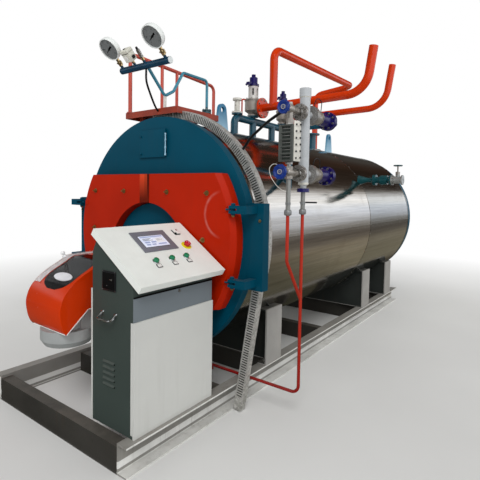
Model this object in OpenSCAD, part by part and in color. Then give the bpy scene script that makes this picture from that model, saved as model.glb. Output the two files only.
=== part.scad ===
// Horizontal fire-tube steam boiler package on a channel skid, with its burner,
// top fittings, water level set and operator console. Millimetres, +Z up.
// Origin on the ground below the drum axis, in the plane of the front smoke box face.

/* [Node] */
// node to draw

/* [Drum] */
// clear height between the skid and the underside of the drum
drum_gap = 157; // [60:1:400]
// outer radius of the polished cladding
clad_r = 1025; // [900:5:1150]
// wall of the cladding and shell drawn as one
clad_wall = 20; // [5:1:60]
// rear end of the cladding
clad_end = 4560; // [3000:10:6000]
// width of a lap band on the cladding
lap_w = 14; // [4:1:40]
// where the round lap seam sits
lap_y = 2756; // [1500:10:4000]
// height of a lap band
lap_h = 3; // [1:0.5:6]

/* [Front smoke box] */
// how far the front disc stands out past the cladding
disc_lip = 25; // [10:1:80]
// depth of the front rim
rim_d = 85; // [40:5:160]
// plate thickness of the smoke box
plate_t = 12; // [6:1:25]
// inspection cover width
cover_w = 338; // [200:2:500]
// inspection cover height
cover_h = 250; // [150:2:400]
// inspection cover thickness
cover_t = 14; // [6:1:30]

/* [Front doors] */
// how far the doors stay inside the front disc
door_inset = 73; // [20:1:160]
// half height between the flat top and bottom edges
door_half_h = 536; // [400:2:700]
// depth of a door
door_d = 118; // [60:2:180]
// gap between the two doors
door_gap = 14; // [4:1:40]
// radius of the burner opening
open_r = 500; // [350:5:600]
// drop of the burner opening below the drum axis
open_drop = 215; // [100:5:320]
// bevel on the outer door edge
door_bevel = 40; // [5:1:60]

/* [Hinges] */
// reach of a hinge bracket past the front disc
hinge_reach = 113; // [60:1:180]
// hinge bracket height
hinge_h = 665; // [300:5:900]
// drop of the hinge bracket middle below the drum axis
hinge_drop = 24; // [-80:1:120]
// drop of the lower hinge below the bracket middle
lug_down = 270; // [150:1:320]
// rise of the upper hinge above the bracket middle
lug_up = 284; // [150:1:320]
// width of a hinge block
lug_w = 62; // [40:1:90]
// hinge bracket depth
hinge_d = 80; // [40:2:120]
// hinge pin radius
hinge_pin_r = 17; // [8:1:30]

/* [Burner] */
// drop of the burner axis below the drum axis
burner_drop = 365; // [250:5:500]
// half width of the burner hood
burner_hw = 230; // [180:5:420]
// front end of the burner hood
burner_y = -1069; // [-1300:1:-800]
// rear face of the burner hood
burner_back = -330; // [-500:10:-200]
// radius of the burner mounting flange
burner_flange_r = 260; // [180:5:350]
// radius of the fan inlet dish
inlet_r = 190; // [150:5:300]
// centre of the fan inlet dish
inlet_y = -870; // [-950:5:-600]
// drop of the inlet face below the burner axis
inlet_drop = 380; // [300:5:450]
// height of the inlet dish
inlet_h = 120; // [60:5:200]

/* [Rear end] */
// how far the rear smoke box stays inside the cladding
rear_step = 12; // [4:1:60]
// depth of the rear smoke box behind the cladding
rear_d = 160; // [60:5:300]
// flue outlet radius
flue_r = 225; // [150:5:320]
// flue outlet height over the axis
flue_up = 420; // [200:5:600]
// flue outlet length
flue_l = 170; // [80:5:400]
// flue flange radius
flue_flange_r = 285; // [200:5:380]
// number of flue flange bolts
flue_bolts = 16; // [8:2:24]

/* [Skid] */
// how far a skid beam stays inside the cladding
skid_in = 165; // [60:5:300]
// width of a skid beam
skid_w = 94; // [60:2:140]
// height of a skid beam
skid_h = 203; // [120:1:260]
// front end of the skid
skid_y0 = -1010; // [-1200:10:0]
// rear end of the skid
skid_y1 = 4620; // [3500:10:5600]
// web thickness of a skid beam
skid_web = 10; // [5:1:20]
// flange thickness of a skid beam
skid_fl = 13; // [6:1:24]
// width of a cross beam
cross_w = 90; // [50:2:140]
// step of a cross beam below the skid top
cross_low = 23; // [5:1:60]
// position of the middle cross beam
cross_y = 1900; // [1500:10:2500]

/* [Saddles] */
// first saddle front edge
sad1_y = 560; // [300:5:1200]
// second saddle front edge
sad2_y = 3005; // [2000:5:3600]
// third saddle front edge
sad3_y = 3990; // [3200:5:4500]
// depth of a saddle along the drum
sad_d = 262; // [120:2:400]
// plate thickness of a saddle
sad_t = 16; // [8:1:30]
// step of a saddle inside the skid beam face
sad_in = 2; // [0:1:30]
// drop of the saddle side plates below the drum side
sad_gap = 112; // [60:1:200]

/* [Cable tray] */
// gap between the tray and the front disc radius
tray_off = 1; // [0.3:0.1:10]
// radial height of the tray
tray_h = 74; // [40:1:100]
// depth of the tray along the drum
tray_d = 60; // [30:1:120]
// front face of the tray
tray_y = 128; // [90:1:250]
// sheet thickness of the tray
tray_t = 3; // [1:0.5:5]
// number of slots round the arch
tray_slots = 112; // [60:1:160]
// width of a slot
slot_w = 9; // [4:1:16]
// left end angle of the arch
tray_a0 = 100; // [80:1:170]
// lower end angle of the arch
tray_a1 = -20; // [-50:1:0]

/* [Top platform] */
// rise of the platform over the drum crown
deck_rise = 118; // [80:2:300]
// platform left edge
deck_x0 = -508; // [-700:2:-200]
// platform right edge
deck_x1 = 190; // [0:2:400]
// platform front edge
deck_y0 = 60; // [0:5:200]
// platform rear edge
deck_y1 = 640; // [400:5:1200]
// height of a platform edge beam
deck_h = 58; // [30:1:100]
// handrail tube radius
rail_r = 19; // [10:0.5:30]
// height of the handrail over the platform at the front
rail_h0 = 572; // [400:2:900]
// height of the handrail over the platform at the rear
rail_h1 = 516; // [400:2:900]
// rear end of the handrail
rail_y1 = 1344; // [900:5:1800]

/* [Gauge header] */
// rise of the header over the drum crown
header_rise = 448; // [300:2:600]
// header front position
header_y = -130; // [-300:5:0]
// header tube radius
header_r = 29; // [15:0.5:45]
// header length
header_l = 624; // [400:2:900]
// pressure gauge case radius
gauge_r = 100; // [60:1:130]
// pressure gauge case depth
gauge_d = 52; // [30:1:80]
// lean of the gauges toward the front
gauge_lean = 44; // [0:1:60]
// syphon pipe radius
syphon_r = 14; // [8:0.5:25]
// position where the syphon pipe leaves the drum
syphon_y = 678; // [600:2:850]
// rise of the syphon pipe over the drum crown
syphon_rise = 494; // [400:2:600]
// rise of the syphon flanges over the drum crown
syphon_fl = 186; // [120:2:260]
// rise of the syphon's low point over the drum crown
syphon_low = 230; // [180:2:280]

/* [Steam fittings] */
// manifold tube radius
man_r = 42; // [25:1:60]
// rise of the manifold axis over the drum crown
man_rise = 202; // [120:2:320]
// manifold front end
man_y0 = 1152; // [1000:1:1400]
// manifold rear end
man_y1 = 2235; // [1900:5:2500]
// bend radius of the front leg
man_bend = 70; // [50:1:120]
// position of the vent spool
spool_y = 1198; // [1100:1:1400]
// position of the small tail pipe
tail_y = 1290; // [1230:5:1400]
// first safety valve position
sv1_y = 1514; // [1300:2:1700]
// second safety valve position
sv2_y = 2200; // [1900:2:2400]
// rise of the first safety valve outlet over its seat
sv1_out = 81; // [70:1:120]
// rise of the second safety valve outlet over its seat
sv2_out = 66; // [60:1:120]
// body radius of the first safety valve
sv1_r = 98; // [70:1:120]
// body radius of the second safety valve
sv2_r = 84; // [60:1:120]
// first discharge pipe radius
dp1_r = 44; // [20:1:70]
// second discharge pipe radius
dp2_r = 37; // [20:1:70]
// rise of the first discharge pipe end over the valve outlet
dp1_up = 475; // [300:5:800]
// rise of the second discharge pipe end over the valve outlet
dp2_up = 480; // [300:5:800]
// reach of the first discharge pipe
dp1_x = 1424; // [1250:2:1600]
// reach of the second discharge pipe
dp2_x = 1402; // [1250:2:1600]
// vent loop tube radius
vent_r = 46; // [15:1:60]
// distance of the vent loop riser from the drum axis
vent_x = 278; // [220:2:500]
// rise of the vent loop over the drum crown at its front end
vent_rise = 995; // [800:5:1300]
// slope of the long vent run, as a rise to its rear end
vent_slope = 74; // [0:2:200]
// rear end of the vent loop
vent_y = 3848; // [3800:2:4200]
// cross reach of the vent loop
vent_cross = 628; // [400:2:800]
// bend radius of the vent loop
vent_bend = 130; // [80:5:200]
// position of the front lifting lug
lug_y0 = 925; // [800:5:1000]
// position of the rear lifting lug
lug_y1 = 3640; // [3300:5:3680]
// rise of a lug eye over the drum crown
lug_eye = 242; // [150:2:350]
// radius of a lug eye
lug_hole = 30; // [15:1:45]
// steam outlet position
steam_y = 3060; // [2700:5:3400]
// steam outlet bore radius
steam_r = 50; // [25:1:80]
// steam outlet flange radius
steam_fl_r = 110; // [70:1:160]

/* [Level set] */
// distance of the level column from the cladding
col_off = 337; // [200:1:450]
// level column position along the drum
col_y = 235; // [100:5:900]
// level column tube radius
col_r = 39; // [25:0.5:60]
// rise of the column top over the upper branch
col_over = 187; // [120:1:300]
// drop of the column bottom below the lower branch
col_under = 76; // [60:1:150]
// rise of the upper branch over the drum axis
up_rise = 987; // [850:1:1000]
// rise of the lower branch over the drum axis
low_rise = 537; // [450:1:700]
// distance of the gauge glass from the column
glass_off = 224; // [180:1:300]
// gauge glass frame length
glass_l = 260; // [200:2:400]
// gauge glass frame width
glass_w = 116; // [60:1:140]
// gauge glass frame depth
glass_d = 110; // [60:1:140]
// number of windows in the gauge glass
glass_n = 5; // [3:1:9]
// width of the bar between windows
glass_bar = 13; // [6:1:24]
// drain pipe radius
drain_r = 12.5; // [6:0.5:20]
// gap between the drain run and the skid top
drain_gap = 6.5; // [2:0.5:60]
// inner end of the drain run
drain_x = 420; // [200:5:700]
// drop of the gauge drain joint below the drum axis
drain_join = 425; // [200:5:800]

/* [Feedwater] */
// feedwater inlet position along the drum
feed_y = 2700; // [2300:5:3200]
// rise of the feedwater inlet over the drum axis
feed_up = 570; // [400:5:700]
// reach of the feedwater end flange
feed_reach = 553; // [500:1:700]
// feedwater end flange radius
feed_fl_r = 60; // [40:1:100]

/* [Console] */
// depth of the console body
con_w = 419; // [300:1:600]
// how far the console front stays inside the skid face
con_in = 43; // [0:1:200]
// left side of the console body
con_y0 = -929; // [-1000:1:-700]
// right side of the console body
con_y1 = -179; // [-300:1:-160]
// height of the console body at the front
con_zf = 1101; // [980:1:1180]
// height of the console body at the back
con_zb = 1447; // [1300:1:1600]
// sheet thickness of the console
con_t = 3; // [1:0.5:5]
// desk overhang to the left
desk_over = 19; // [0:1:60]
// desk overhang to the right
desk_right = 40; // [0:1:45]
// desk overhang past the console front
desk_front = 101; // [20:1:200]
// step of the desk back edge inside the console back
desk_in = 35; // [20:1:100]
// desk height at the front edge, top
desk_zf = 1190; // [1120:1:1300]
// desk height at the back edge, top
desk_zb = 1518; // [1400:1:1650]
// desk lid thickness
desk_t = 50; // [20:1:80]
// top of the pale front panel
panel_z = 950; // [700:1:1050]
// width of the touch screen frame
bezel_w = 321; // [200:1:400]
// height of the touch screen frame
bezel_h = 215; // [150:1:260]
// top of the pale back strip
strip_z = 1109; // [900:1:1200]
// place of the touch screen along the desk slope from the front edge
bezel_at = 505; // [300:1:540]
// place of the touch screen from the left side
bezel_y = 214; // [50:1:300]
// reach of the side handle
handle_d = 52; // [30:1:80]
// length of the side handle
handle_l = 136; // [90:1:200]
// height of the side handle
handle_z = 962; // [700:1:1040]

/* [Hidden] */
$fn = 72;
eps = 0.01;
axis_z = skid_h + drum_gap + clad_r;
crown = axis_z + clad_r;
disc_r = clad_r + disc_lip;
door_r = disc_r - door_inset;
open_z = axis_z - open_drop;
sill_z = axis_z - door_half_h;
hinge_x = disc_r + hinge_reach;
hinge_z = axis_z - hinge_drop;
hinge_zs = [hinge_z - lug_down, hinge_z + lug_up];
burner_z = axis_z - burner_drop;
inlet_z = burner_z - inlet_drop;
rear_r = clad_r - rear_step;
skid_x = clad_r - skid_in;
sad_hw = skid_x - sad_in;
sad_top = axis_z - sqrt(pow(clad_r, 2) - pow(sad_hw, 2)) - sad_gap;
tray_r = disc_r + tray_off + tray_h;
deck_z = crown + deck_rise;
rail_z0 = deck_z + rail_h0;
rail_z1 = deck_z + rail_h1;
header_z = crown + header_rise;
man_z = crown + man_rise;
seat_h = 62;
seat_z = man_z + seat_h;
sv1_out_z = seat_z + sv1_out;
sv2_out_z = seat_z + sv2_out;
dp1_top = sv1_out_z + dp1_up;
dp2_top = sv2_out_z + dp2_up;
vent_z0 = crown + vent_rise;
vent_z1 = vent_z0 + vent_slope;
eye_z = crown + lug_eye;
col_x = clad_r + col_off;
up_z = axis_z + up_rise;
low_z = axis_z + low_rise;
col_top = up_z + col_over;
col_bot = low_z - col_under;
col_foot = col_bot - 62;
drain_z = skid_h + drain_gap + drain_r;
con_x1 = skid_x - con_in;
con_x0 = con_x1 - con_w;
desk_x1 = con_x1 + desk_front;
desk_x0 = con_x0 + desk_in;
feed_z = axis_z + feed_up;
feed_x0 = sqrt(pow(clad_r, 2) - pow(feed_up, 2)) + 20;
feed_end = feed_x0 + feed_reach;
clad_y0 = rim_d;
lean = gauge_lean;
man_leg_y = [sv1_y, 1935];
desk_len = sqrt(pow(desk_x1 - desk_x0, 2) + pow(desk_zb - desk_zf, 2));
desk_tilt = atan2(desk_zb - desk_zf, desk_x1 - desk_x0);
glass_y = col_y - glass_off;
glass_z = (up_z + low_z) / 2 - 20;
wheel_off = [121, 91];
wheel_r = [52, 48];
handle_x = con_x0 + 112;
// round points of the two loose cables
gauge_cable_p = [[4, -130, 2829.3], [5.7, -131.8, 2793.8], [7.5, -133.6, 2758.3], [7, -129, 2724],
  [3.1, -114.4, 2691.7], [-2.9, -93.4, 2660.6], [-10, -70, 2630], [-18.4, -43.8, 2597.7],
  [-27.9, -15.2, 2565.9], [-36, 10, 2540], [-41.6, 28.8, 2523.7], [-45.8, 44.3, 2513.4],
  [-50, 59.7, 2503]];
level_cable_p = [[1311, 11, 2362], [1297.3, 13.9, 2358.9], [1274, 20, 2352], [1220.5, 35.2, 2333.4],
  [1160, 55, 2312], [1113.9, 78.1, 2297.4], [1067, 100, 2279], [1004.8, 114.1, 2244.4],
  [947, 125, 2208], [913.6, 135.8, 2181.8], [890, 145, 2160], [868.1, 151.9, 2141.6],
  [848.2, 158, 2124.8]];

function unit(v) = v / norm(v);
function sub2(a, b) = [a[0] - b[0], a[1] - b[1], a[2] - b[2]];

// straight round bar between two points
module bar(p, q, r) {
  d = sub2(q, p);
  l = norm(d);
  b = acos(d[2] / l);
  c = atan2(d[1], d[0]);
  translate(p) rotate([0, b, c]) cylinder(r = r, h = l);
}

// quarter or part bend from a start point
module elbow(c, x, y, rb, r, a) {
  z = cross(x, y);
  multmatrix([[x[0], y[0], z[0], c[0]], [x[1], y[1], z[1], c[1]],
    [x[2], y[2], z[2], c[2]], [0, 0, 0, 1]])
    rotate_extrude(angle = a) translate([rb, 0]) circle(r);
}

// bent pipe through a list of corner points
module pipe(p, r, rb) {
  n = len(p);
  for (i = [0 : n - 2]) {
    u = unit(sub2(p[i + 1], p[i]));
    ta = i == 0 ? 0 : rb * tan(acos(unit(sub2(p[i], p[i - 1])) * u) / 2);
    tb = i == n - 2 ? 0 : rb * tan(acos(u * unit(sub2(p[i + 2], p[i + 1]))) / 2);
    bar(p[i] + u * (i == 0 ? 0 : ta - 2), p[i + 1] - u * (i == n - 2 ? 0 : tb - 2), r);
    if (i < n - 2) {
      v = unit(sub2(p[i + 2], p[i + 1]));
      a = acos(u * v);
      nn = unit(v - u * (u * v));
      s = p[i + 1] - u * tb;
      elbow(s + nn * rb, -nn, u, rb, r - 0.5, a);
    }
  }
}

// round cable swept along chosen points, turned about a steady direction
module cable(p, r, ref) {
  n = len(p);
  m = 10;
  t = [for (i = [0 : n - 1]) unit(sub2(p[min(i + 1, n - 1)], p[max(i - 1, 0)]))];
  a = [for (i = [0 : n - 1]) unit(cross(t[i], ref))];
  b = [for (i = [0 : n - 1]) cross(t[i], a[i])];
  pts = [for (i = [0 : n - 1]) for (k = [0 : m - 1])
    p[i] + a[i] * (r * cos(k * 360 / m)) + b[i] * (r * sin(k * 360 / m))];
  side = [for (i = [0 : n - 2]) for (k = [0 : m - 1]) for (h = [0, 1]) h == 0
    ? [i * m + k, (i + 1) * m + k, (i + 1) * m + (k + 1) % m]
    : [i * m + k, (i + 1) * m + (k + 1) % m, i * m + (k + 1) % m]];
  ends = [[for (k = [0 : m - 1]) k], [for (k = [0 : m - 1]) n * m - 1 - k]];
  polyhedron(points = pts, faces = concat(side, ends));
}

// ring of bolt holes to cut, axis along +Z
module holes(n, pr, hr, h) {
  for (i = [0 : n - 1]) rotate([0, 0, (i + 0.5) * 360 / n])
    translate([pr, 0, -1]) cylinder(r = hr, h = h + 2, $fn = 20);
}

// round flange along +Z with bore and holes
module flange(ro, ri, h, n, pr, hr) {
  difference() {
    cylinder(r = ro, h = h);
    translate([0, 0, -1]) cylinder(r = ri, h = h + 2);
    holes(n, pr, hr, h);
  }
}

// children cut back to sit just clear of the cladding
module off_drum() {
  difference() {
    children();
    drum_y(rim_d) cylinder(r = clad_r + 0.3, h = clad_end - rim_d, $fn = 180);
  }
}
module on_y(y) { translate([0, y, 0]) rotate([-90, 0, 0]) children(); }
module drum_y(y) { translate([0, y, axis_z]) rotate([-90, 0, 0]) children(); }

module shell_cladding() color([0.78, 0.79, 0.80]) {
  drum_y(clad_y0) difference() {
    union() {
      cylinder(r = clad_r, h = clad_end - clad_y0, $fn = 180);
      translate([0, 0, lap_y - clad_y0]) cylinder(r = clad_r + lap_h, h = lap_w, $fn = 180);
      translate([0, 0, clad_end - clad_y0 - lap_w])
        cylinder(r = clad_r + lap_h, h = lap_w, $fn = 180);
    }
    translate([0, 0, -1]) cylinder(r = clad_r - clad_wall, h = clad_end - clad_y0 + 2, $fn = 180);
  }
}

module front_smokebox() color([0.03, 0.25, 0.36]) {
  drum_y(0) difference() {
    cylinder(r = disc_r, h = rim_d, $fn = 180);
    translate([0, 0, plate_t]) cylinder(r = disc_r - plate_t, h = rim_d, $fn = 180);
  }
  // back ring that closes the rim against the cladding
  drum_y(rim_d - plate_t) difference() {
    cylinder(r = disc_r - plate_t + eps, h = plate_t, $fn = 180);
    translate([0, 0, -1]) cylinder(r = clad_r - clad_wall - 40, h = plate_t + 2, $fn = 180);
  }
}

module inspection_cover() color([0.03, 0.25, 0.36]) {
  z0 = axis_z + 690;
  translate([-213, -cover_t, z0]) cube([cover_w, cover_t, cover_h]);
  translate([-213 + cover_w - 6, -cover_t - 10, z0 + 10]) cube([12, 10 + eps, cover_h - 20]);
  for (z = [z0 + 35, z0 + cover_h - 55]) translate([-213 + 22, -cover_t - 9, z]) rotate([-90, 0, 0])
    cylinder(r = 9, h = 9 + eps, $fn = 24);
}

// half door outline in the front plane, x to the right
module door_shape(r, hh, gap) {
  difference() {
    intersection() {
      circle(r, $fn = 180);
      translate([gap / 2, -hh]) square([r, 2 * hh]);
    }
    translate([0, open_z - axis_z]) circle(open_r, $fn = 120);
    translate([-open_r, -hh - 1]) square([2 * open_r, open_z - axis_z + hh + 1]);
  }
}
module door() {
  // main slab
  translate([0, -door_d + door_bevel, axis_z]) rotate([90, 0, 0]) mirror([0, 0, 1])
    linear_extrude(height = door_d - door_bevel) door_shape(door_r, door_half_h, door_gap);
  // front field with a bevelled round edge
  intersection() {
    translate([0, -door_d, axis_z]) rotate([90, 0, 0]) mirror([0, 0, 1])
      linear_extrude(height = door_bevel + eps)
      door_shape(door_r, door_half_h, door_gap);
    drum_y(-door_d) cylinder(r1 = door_r - door_bevel * 0.8, r2 = door_r, h = door_bevel + 2 * eps,
      $fn = 180);
  }
}
module right_front_door() color([0.72, 0.14, 0.03]) {
  door();
  for (z = hinge_zs) translate([door_r - 117, -door_d - 4, z - 21]) cube([48, 60, 42]);
}
module left_front_door() color([0.72, 0.14, 0.03]) mirror([1, 0, 0]) {
  door();
  for (z = hinge_zs) translate([door_r - 117, -door_d - 4, z - 21]) cube([48, 60, 42]);
}

module furnace_front_plate() color([0.03, 0.25, 0.36]) {
  translate([0, 0, open_z]) rotate([90, 0, 0]) difference() {
    cylinder(r = open_r - 12, h = 46, $fn = 120);
    translate([0, burner_z - open_z, -1]) cylinder(r = burner_flange_r - 90, h = 60);
    translate([-open_r, sill_z - open_z - open_r, -1]) cube([2 * open_r, open_r, 60]);
  }
  translate([-open_r + 12, -46, sill_z]) cube([2 * open_r - 24, 46, 130]);
}

module hinge() {
  x0 = disc_r - 102;
  difference() {
    translate([disc_r - 38, 0, hinge_z - hinge_h / 2])
      cube([hinge_reach + 38, hinge_d, hinge_h]);
    drum_y(-1) cylinder(r = disc_r + 0.3, h = hinge_d + 2, $fn = 180);
  }
  for (z = hinge_zs) {
    translate([x0, -150, z - 30]) cube([100, 60, 22]);
    translate([x0, -150, z + 8]) cube([100, 60, 22]);
    translate([x0 + 100 - eps, -110, z - 30]) cube([lug_w, 110 + eps, 60]);
    translate([x0 + 72, -150, z - 30]) cube([lug_w + 28, 62, 60]);
    translate([x0 + 22, -122, z - 42]) cylinder(r = hinge_pin_r, h = 84, $fn = 36);
    translate([door_r - 69, -130, z]) rotate([0, 90, 0]) cylinder(r = 7, h = 60, $fn = 24);
  }
  translate([hinge_x - 28, -7, hinge_z + 202]) rotate([-90, 0, 0]) cylinder(r = 11, h = 8, $fn = 24);
}
module right_hinge_bracket() color([0.03, 0.25, 0.36]) hinge();
module left_hinge_bracket() color([0.03, 0.25, 0.36]) mirror([1, 0, 0]) hinge();

// side outline of the burner hood, x is toward the front, y is up
module hood_side() {
  f = -burner_y;
  polygon([[-burner_back, burner_z + 232], [-burner_back, burner_z - 130],
    [f - 400, burner_z - 130], [f - 221, burner_z - 107], [f - 51, burner_z - 255],
    [f - 30, burner_z - 226], [f - 11, burner_z - 171], [f, burner_z - 98], [f - 5, burner_z - 46],
    [f - 28, burner_z + 15], [f - 66, burner_z + 65], [f - 125, burner_z + 113],
    [f - 180, burner_z + 146], [f - 237, burner_z + 174], [f - 331, burner_z + 228]]);
}
module burner_hood() color([0.79, 0.18, 0.05]) {
  translate([burner_hw, 0, 0]) rotate([0, 0, -90]) rotate([90, 0, 0])
    linear_extrude(height = 2 * burner_hw) hood_side();
}
module burner_base() color([0.62, 0.64, 0.65]) {
  // cast body behind the hood and the round fan inlet below it
  translate([0, burner_back, burner_z]) rotate([-90, 0, 0])
    cylinder(r = 215, h = 130, $fn = 96);
  translate([-215, burner_back, burner_z - 170]) cube([430, 110, 300]);
  difference() {
    translate([0, inlet_y, inlet_z]) union() {
      cylinder(r1 = inlet_r - 26, r2 = inlet_r, h = inlet_h / 3, $fn = 96);
      translate([0, 0, inlet_h / 3]) cylinder(r = inlet_r, h = inlet_h * 2 / 3, $fn = 96);
      translate([0, 0, inlet_h]) cylinder(r = inlet_r - 40, h = 160, $fn = 96);
      translate([20, 0, inlet_h - 60]) cube([inlet_r - 40, 150, 190]);
    }
    translate([0, inlet_y, inlet_z - 1]) cylinder(r = inlet_r - 45, h = 61, $fn = 96);
    translate([burner_hw, 0, 0]) rotate([0, 0, -90]) rotate([90, 0, 0])
      linear_extrude(height = 2 * burner_hw) hood_side();
  }
}
module burner_head() color([0.30, 0.31, 0.32]) {
  on_y(0) translate([0, -burner_z, 0]) {
    translate([0, 0, -200]) cylinder(r = 170, h = 140);
    translate([0, 0, -64]) flange(burner_flange_r, 60, 18, 8, burner_flange_r - 28, 9);
  }
}

module rear_smokebox() color([0.03, 0.25, 0.36]) {
  drum_y(clad_end) difference() {
    cylinder(r = rear_r, h = rear_d, $fn = 180);
    translate([0, 0, -1]) cylinder(r = rear_r - plate_t, h = rear_d - plate_t + 1, $fn = 180);
    translate([0, -flue_up, 0]) cylinder(r = flue_r - 8, h = rear_d + 1);
  }
  // two bolted clean-out covers
  for (s = [-1, 1]) translate([s * 330, clad_end + rear_d, axis_z - 320]) rotate([-90, 0, 0]) {
    cylinder(r = 210, h = 22, $fn = 96);
    translate([-22, -150, 22 - eps]) cube([44, 300, 26]);
    cylinder(r = 26, h = 62, $fn = 36);
  }
}
module flue_outlet() color([0.03, 0.25, 0.36]) {
  translate([0, clad_end + rear_d, axis_z + flue_up]) rotate([-90, 0, 0]) {
    difference() {
      cylinder(r = flue_r, h = flue_l);
      translate([0, 0, -1]) cylinder(r = flue_r - 8, h = flue_l + 2);
    }
    translate([0, 0, flue_l - 12]) flange(flue_flange_r, flue_r - eps, 12, flue_bolts,
      flue_flange_r - 26, 9);
  }
}

module skid_beam_right() color([0.54, 0.53, 0.51]) {
  translate([skid_x - skid_w, 0, 0]) difference() {
    translate([0, skid_y0, 0]) cube([skid_w, skid_y1 - skid_y0, skid_h]);
    translate([skid_web, skid_y0 - 1, skid_fl])
      cube([skid_w, skid_y1 - skid_y0 + 2, skid_h - 2 * skid_fl]);
  }
}
module skid_beam_left() color([0.54, 0.53, 0.51]) {
  mirror([1, 0, 0]) translate([skid_x - skid_w, 0, 0]) difference() {
    translate([0, skid_y0, 0]) cube([skid_w, skid_y1 - skid_y0, skid_h]);
    translate([skid_web, skid_y0 - 1, skid_fl])
      cube([skid_w, skid_y1 - skid_y0 + 2, skid_h - 2 * skid_fl]);
  }
}
module skid_cross_members() color([0.44, 0.43, 0.42]) {
  for (y = [skid_y0, con_y1 - cross_w, -cross_w / 2, sad1_y + 145, cross_y, sad2_y + 85, sad3_y + 85,
      skid_y1 - cross_w])
    translate([-skid_x + skid_w, y, 0]) cube([2 * (skid_x - skid_w), cross_w, skid_h - cross_low]);
}

module saddle(y, web) {
  xs = sad_hw;
  zt = sad_top;
  difference() {
    union() {
      // transverse web
      translate([0, y + web, 0]) rotate([90, 0, 0]) mirror([0, 0, 1]) linear_extrude(height = sad_t)
        polygon([[-xs + 4, skid_h], [xs - 4, skid_h], [xs - 4, zt - 30], [xs - 120, zt + 60],
          [-xs + 120, zt + 60], [-xs + 4, zt - 30]]);
      // side plates standing on the beams, and a sole plate
      for (s = [-1, 1]) {
        translate([s > 0 ? xs - sad_t : -xs, y, skid_h]) cube([sad_t, sad_d, zt - skid_h]);
        translate([s > 0 ? xs - 92 : -xs, y, skid_h]) cube([92, sad_d, sad_t]);
        translate([s > 0 ? xs - 150 : -xs, y, zt - sad_t]) cube([150, sad_d, sad_t]);
      }
    }
    drum_y(y - 1) cylinder(r = clad_r, h = sad_d + 2, $fn = 180);
  }
  // wear plate between the web and the drum
  drum_y(y + web - 50) difference() {
    intersection() {
      difference() {
        cylinder(r = clad_r + 12, h = 116, $fn = 180);
        translate([0, 0, -1]) cylinder(r = clad_r, h = 118, $fn = 180);
      }
      translate([-640, 700, -2]) cube([1280, 400, 130]);
    }
  }
}
module saddle_front() color([0.58, 0.57, 0.55]) saddle(sad1_y, 120);
module saddle_middle() color([0.58, 0.57, 0.55]) saddle(sad2_y, 20);
module saddle_rear() color([0.58, 0.57, 0.55]) saddle(sad3_y, 20);

// slotted trunking bent round the drum, in two parts
module tray_slot(a) {
  rotate([0, 0, a]) translate([tray_r - tray_h - 1, -slot_w / 2, -1])
    cube([tray_h - 10, slot_w, tray_t + 2]);
}
module cable_tray_arch() color([0.66, 0.64, 0.61]) {
  n = tray_slots;
  translate([0, tray_y, axis_z]) rotate([90, 0, 0]) mirror([0, 0, 1]) difference() {
    rotate([0, 0, tray_a1]) rotate_extrude(angle = tray_a0 - tray_a1, $fn = 180)
      difference() {
        translate([tray_r - tray_h, 0]) square([tray_h, tray_d]);
        translate([tray_r - tray_h + tray_t, tray_t])
          square([tray_h - 2 * tray_t, tray_d - 2 * tray_t]);
      }
    for (i = [1 : n - 1]) tray_slot(tray_a1 + i * (tray_a0 - tray_a1) / n);
  }
}
// straight run from the arch down to the skid
module cable_tray_drop() color([0.66, 0.64, 0.61]) {
  p = [tray_r * cos(tray_a1), tray_y, axis_z + tray_r * sin(tray_a1)];
  q = [skid_x + tray_h + 4, 62, 8];
  d = sub2(q, p);
  l = norm(d);
  w = unit(d);
  x = unit([-d[2], 0, d[0]]);
  xx = x[0] > 0 ? -x : x;
  v = cross(w, xx);
  multmatrix([[xx[0], v[0], w[0], p[0]], [xx[1], v[1], w[1], p[1]],
    [xx[2], v[2], w[2], p[2]], [0, 0, 0, 1]]) mirror([0, v[1] > 0 ? 0 : 1, 0]) difference() {
      cube([tray_h, tray_d, l]);
      translate([tray_t, tray_t, -1])
        cube([tray_h - 2 * tray_t, tray_d - 2 * tray_t, l - 60]);
      for (i = [1 : 44]) translate([10, -1, i * 20]) cube([tray_h - 11 - 10, tray_t + 2, slot_w]);
    }
}

module lifting_lugs() color([0.45, 0.68, 0.78]) off_drum() {
  for (y = [lug_y0, lug_y1]) translate([-15, y, 0]) {
    difference() {
      hull() {
        translate([0, -105, crown - 20]) cube([30, 210, 20]);
        translate([0, 0, eye_z]) rotate([0, 90, 0]) cylinder(r = lug_hole + 34, h = 30);
      }
      translate([-1, 0, eye_z]) rotate([0, 90, 0]) cylinder(r = lug_hole, h = 32);
    }
    translate([-45, -130, crown - 6]) cube([120, 260, 14]);
  }
}

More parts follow.
